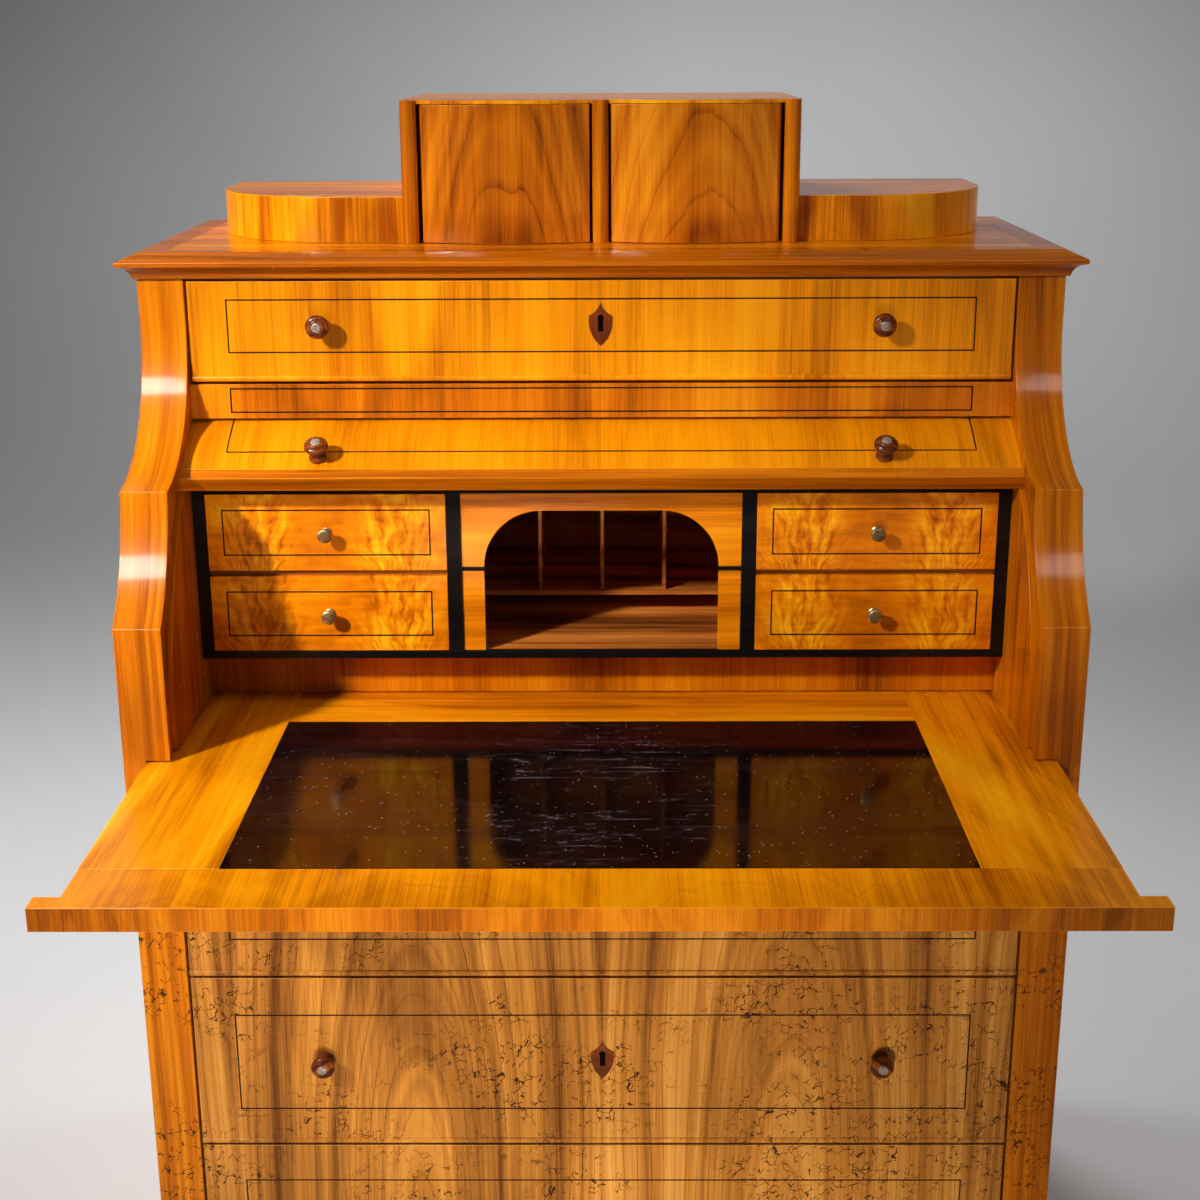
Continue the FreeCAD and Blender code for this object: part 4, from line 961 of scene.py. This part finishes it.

# Keyholes: a thin dark sheet behind each plate, a little wider than the plate's own hole, that paints the shade
# inside the hole.
HOLE_RADIUS = 3.7 * MM
HOLE_RISE = 6.5 * MM
HOLE_SLOT = 3.0 * MM
HOLE_DROP = 8.4 * MM
HOLE_PROUD = Vector((0, -0.15 * MM, 0))
HOLE_SUNK = Vector((0, 0.1 * MM, 0))
slot_angle = math.acos(HOLE_SLOT / HOLE_RADIUS)
EYE_STEPS = 20
for name in LARGE:
    low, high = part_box(f"{name}_escutcheon")
    middle = (low.z + high.z) / 2
    points = []
    for step in range(EYE_STEPS + 1):
        turn = -slot_angle + (math.pi + 2 * slot_angle) * step / EYE_STEPS
        points.append((HOLE_RADIUS * math.cos(turn), HOLE_RISE + HOLE_RADIUS * math.sin(turn)))
    points += [(-HOLE_SLOT, -HOLE_DROP), (HOLE_SLOT, -HOLE_DROP)]
    work = bmesh.new()
    hole = [Vector((x, high.y, middle + z)) for x, z in points]
    prism(work, hole, HOLE_PROUD, HOLE_SUNK)
    new_object(f"{name}_keyhole", finish_mesh(work, f"{name}_keyhole"), name, ["dark_hole"])


# The studio: a round floor that bends up into a wall, in metres.
WALL_RADIUS = 8.0
BEND_RADIUS = 6.0
WALL_TOP = 7.0
BEND_STEPS = 20
STUDIO_TURNS = 64
STUDIO_CLOUD = (0.8, 0.8, 0.8)
STUDIO_DARK = (0.5, 0.505, 0.51, 1)
STUDIO_LIGHT = (0.58, 0.585, 0.59, 1)


def studio():
    """A pale floor that curves up into a wall all round."""
    shader = Shader("studio")
    cloud = shader.noise(shader.place(), STUDIO_CLOUD, 2.0)
    shade = shader.mix(cloud, STUDIO_DARK, STUDIO_LIGHT)
    shader.set(Base_Color=shade, Roughness=0.9)
    work = bmesh.new()
    profile = []
    for step in range(BEND_STEPS + 1):
        turn = math.pi / 2 * step / BEND_STEPS
        radius = WALL_RADIUS - BEND_RADIUS + BEND_RADIUS * math.sin(turn)
        profile.append((radius, BEND_RADIUS - BEND_RADIUS * math.cos(turn)))
    profile.append((WALL_RADIUS, WALL_TOP))
    angles = [2 * math.pi * turn / STUDIO_TURNS for turn in range(STUDIO_TURNS)]
    rows = []
    for radius, height in profile:
        spots = [(radius * math.cos(angle), radius * math.sin(angle), height) for angle in angles]
        rows.append([work.verts.new(spot) for spot in spots])
    work.faces.new(rows[0]).smooth = True
    for first, second in zip(rows, rows[1:]):
        for index in range(STUDIO_TURNS):
            after = (index + 1) % STUDIO_TURNS
            work.faces.new([first[index], second[index], second[after], first[after]]).smooth = True
    mesh = finish_mesh(work, "studio")
    mesh.materials.append(shader.material)
    stage = bpy.data.objects.new("studio", mesh)
    bpy.context.scene.collection.objects.link(stage)


WHITE = (1.0, 1.0, 1.0)
WARM = (1.0, 0.98, 0.95)
KEY_WARM = (1.0, 0.98, 0.94)
WORLD_TINT = (0.8, 0.82, 0.85, 1)
WORLD_LEVEL = 0.09


def lamp(name, place, target, size, power, tint=WHITE, mirrored=False, spread=180, cast=True):
    """A square soft lamp. One that isn't mirrored lights the wood without a reflection of its own, and
    one that isn't cast is only a reflection; a spread, in degrees, gathers its light to the target."""
    data = bpy.data.lights.new(name, "AREA")
    data.energy = power
    data.size = size
    data.color = tint
    data.spread = math.radians(spread)
    light = bpy.data.objects.new(name, data)
    bpy.context.scene.collection.objects.link(light)
    light.visible_camera = False
    light.visible_glossy = mirrored
    light.visible_diffuse = cast
    light.location = place
    light.rotation_euler = (Vector(target) - Vector(place)).to_track_quat("-Z", "Y").to_euler()


studio()
lamp("key", (-1.9, -1.8, 2.5), (-0.48, -0.1, 1.1), 0.22, 6.2, KEY_WARM, mirrored=True, spread=40)
lamp("top", (-0.5, -0.7, 3.3), (-0.3, -0.3, 0.8), 1.2, 9, WARM)
lamp("low", (-0.2, -2.1, 0.24), (-0.1, -0.1, 0.54), 0.4, 2.5, WARM, spread=44)
lamp("fill", (1.9, -2.4, 2.0), (0.0, 0.0, 0.9), 1.6, 3)
lamp("left_sheen", (-1.25, -1.9, 2.75), (-0.4, 0.0, 1.0), 0.55, 26, mirrored=True, cast=False)
lamp("right_sheen", (1.25, -1.9, 2.75), (0.4, 0.0, 1.0), 0.55, 5, mirrored=True, cast=False)
lamp("rear", (-1.6, 3.6, 2.8), (0.0, 0.2, 0.8), 1.6, 32, spread=80)
for way, power in ((-1, 10), (1, 7)):
    lamp("side", (way * 3.4, 1.4, 2.4), (way * 0.5, 0.3, 0.6), 1.4, power, spread=70)
lamp("wall", (0.4, 4.0, 3.6), (0.5, 4.8, 0.4), 1.6, 44, spread=140)
lamp("ground", (-2.6, 0.6, 2.4), (-1.7, 0.8, 0.0), 1.2, 13, spread=100)
world = bpy.data.worlds.new("studio_light")
world.use_nodes = True
sky = world.node_tree.nodes["Background"]
sky.inputs["Color"].default_value = WORLD_TINT
sky.inputs["Strength"].default_value = WORLD_LEVEL
bpy.context.scene.world = world
bpy.context.scene.view_settings.view_transform = "Standard"
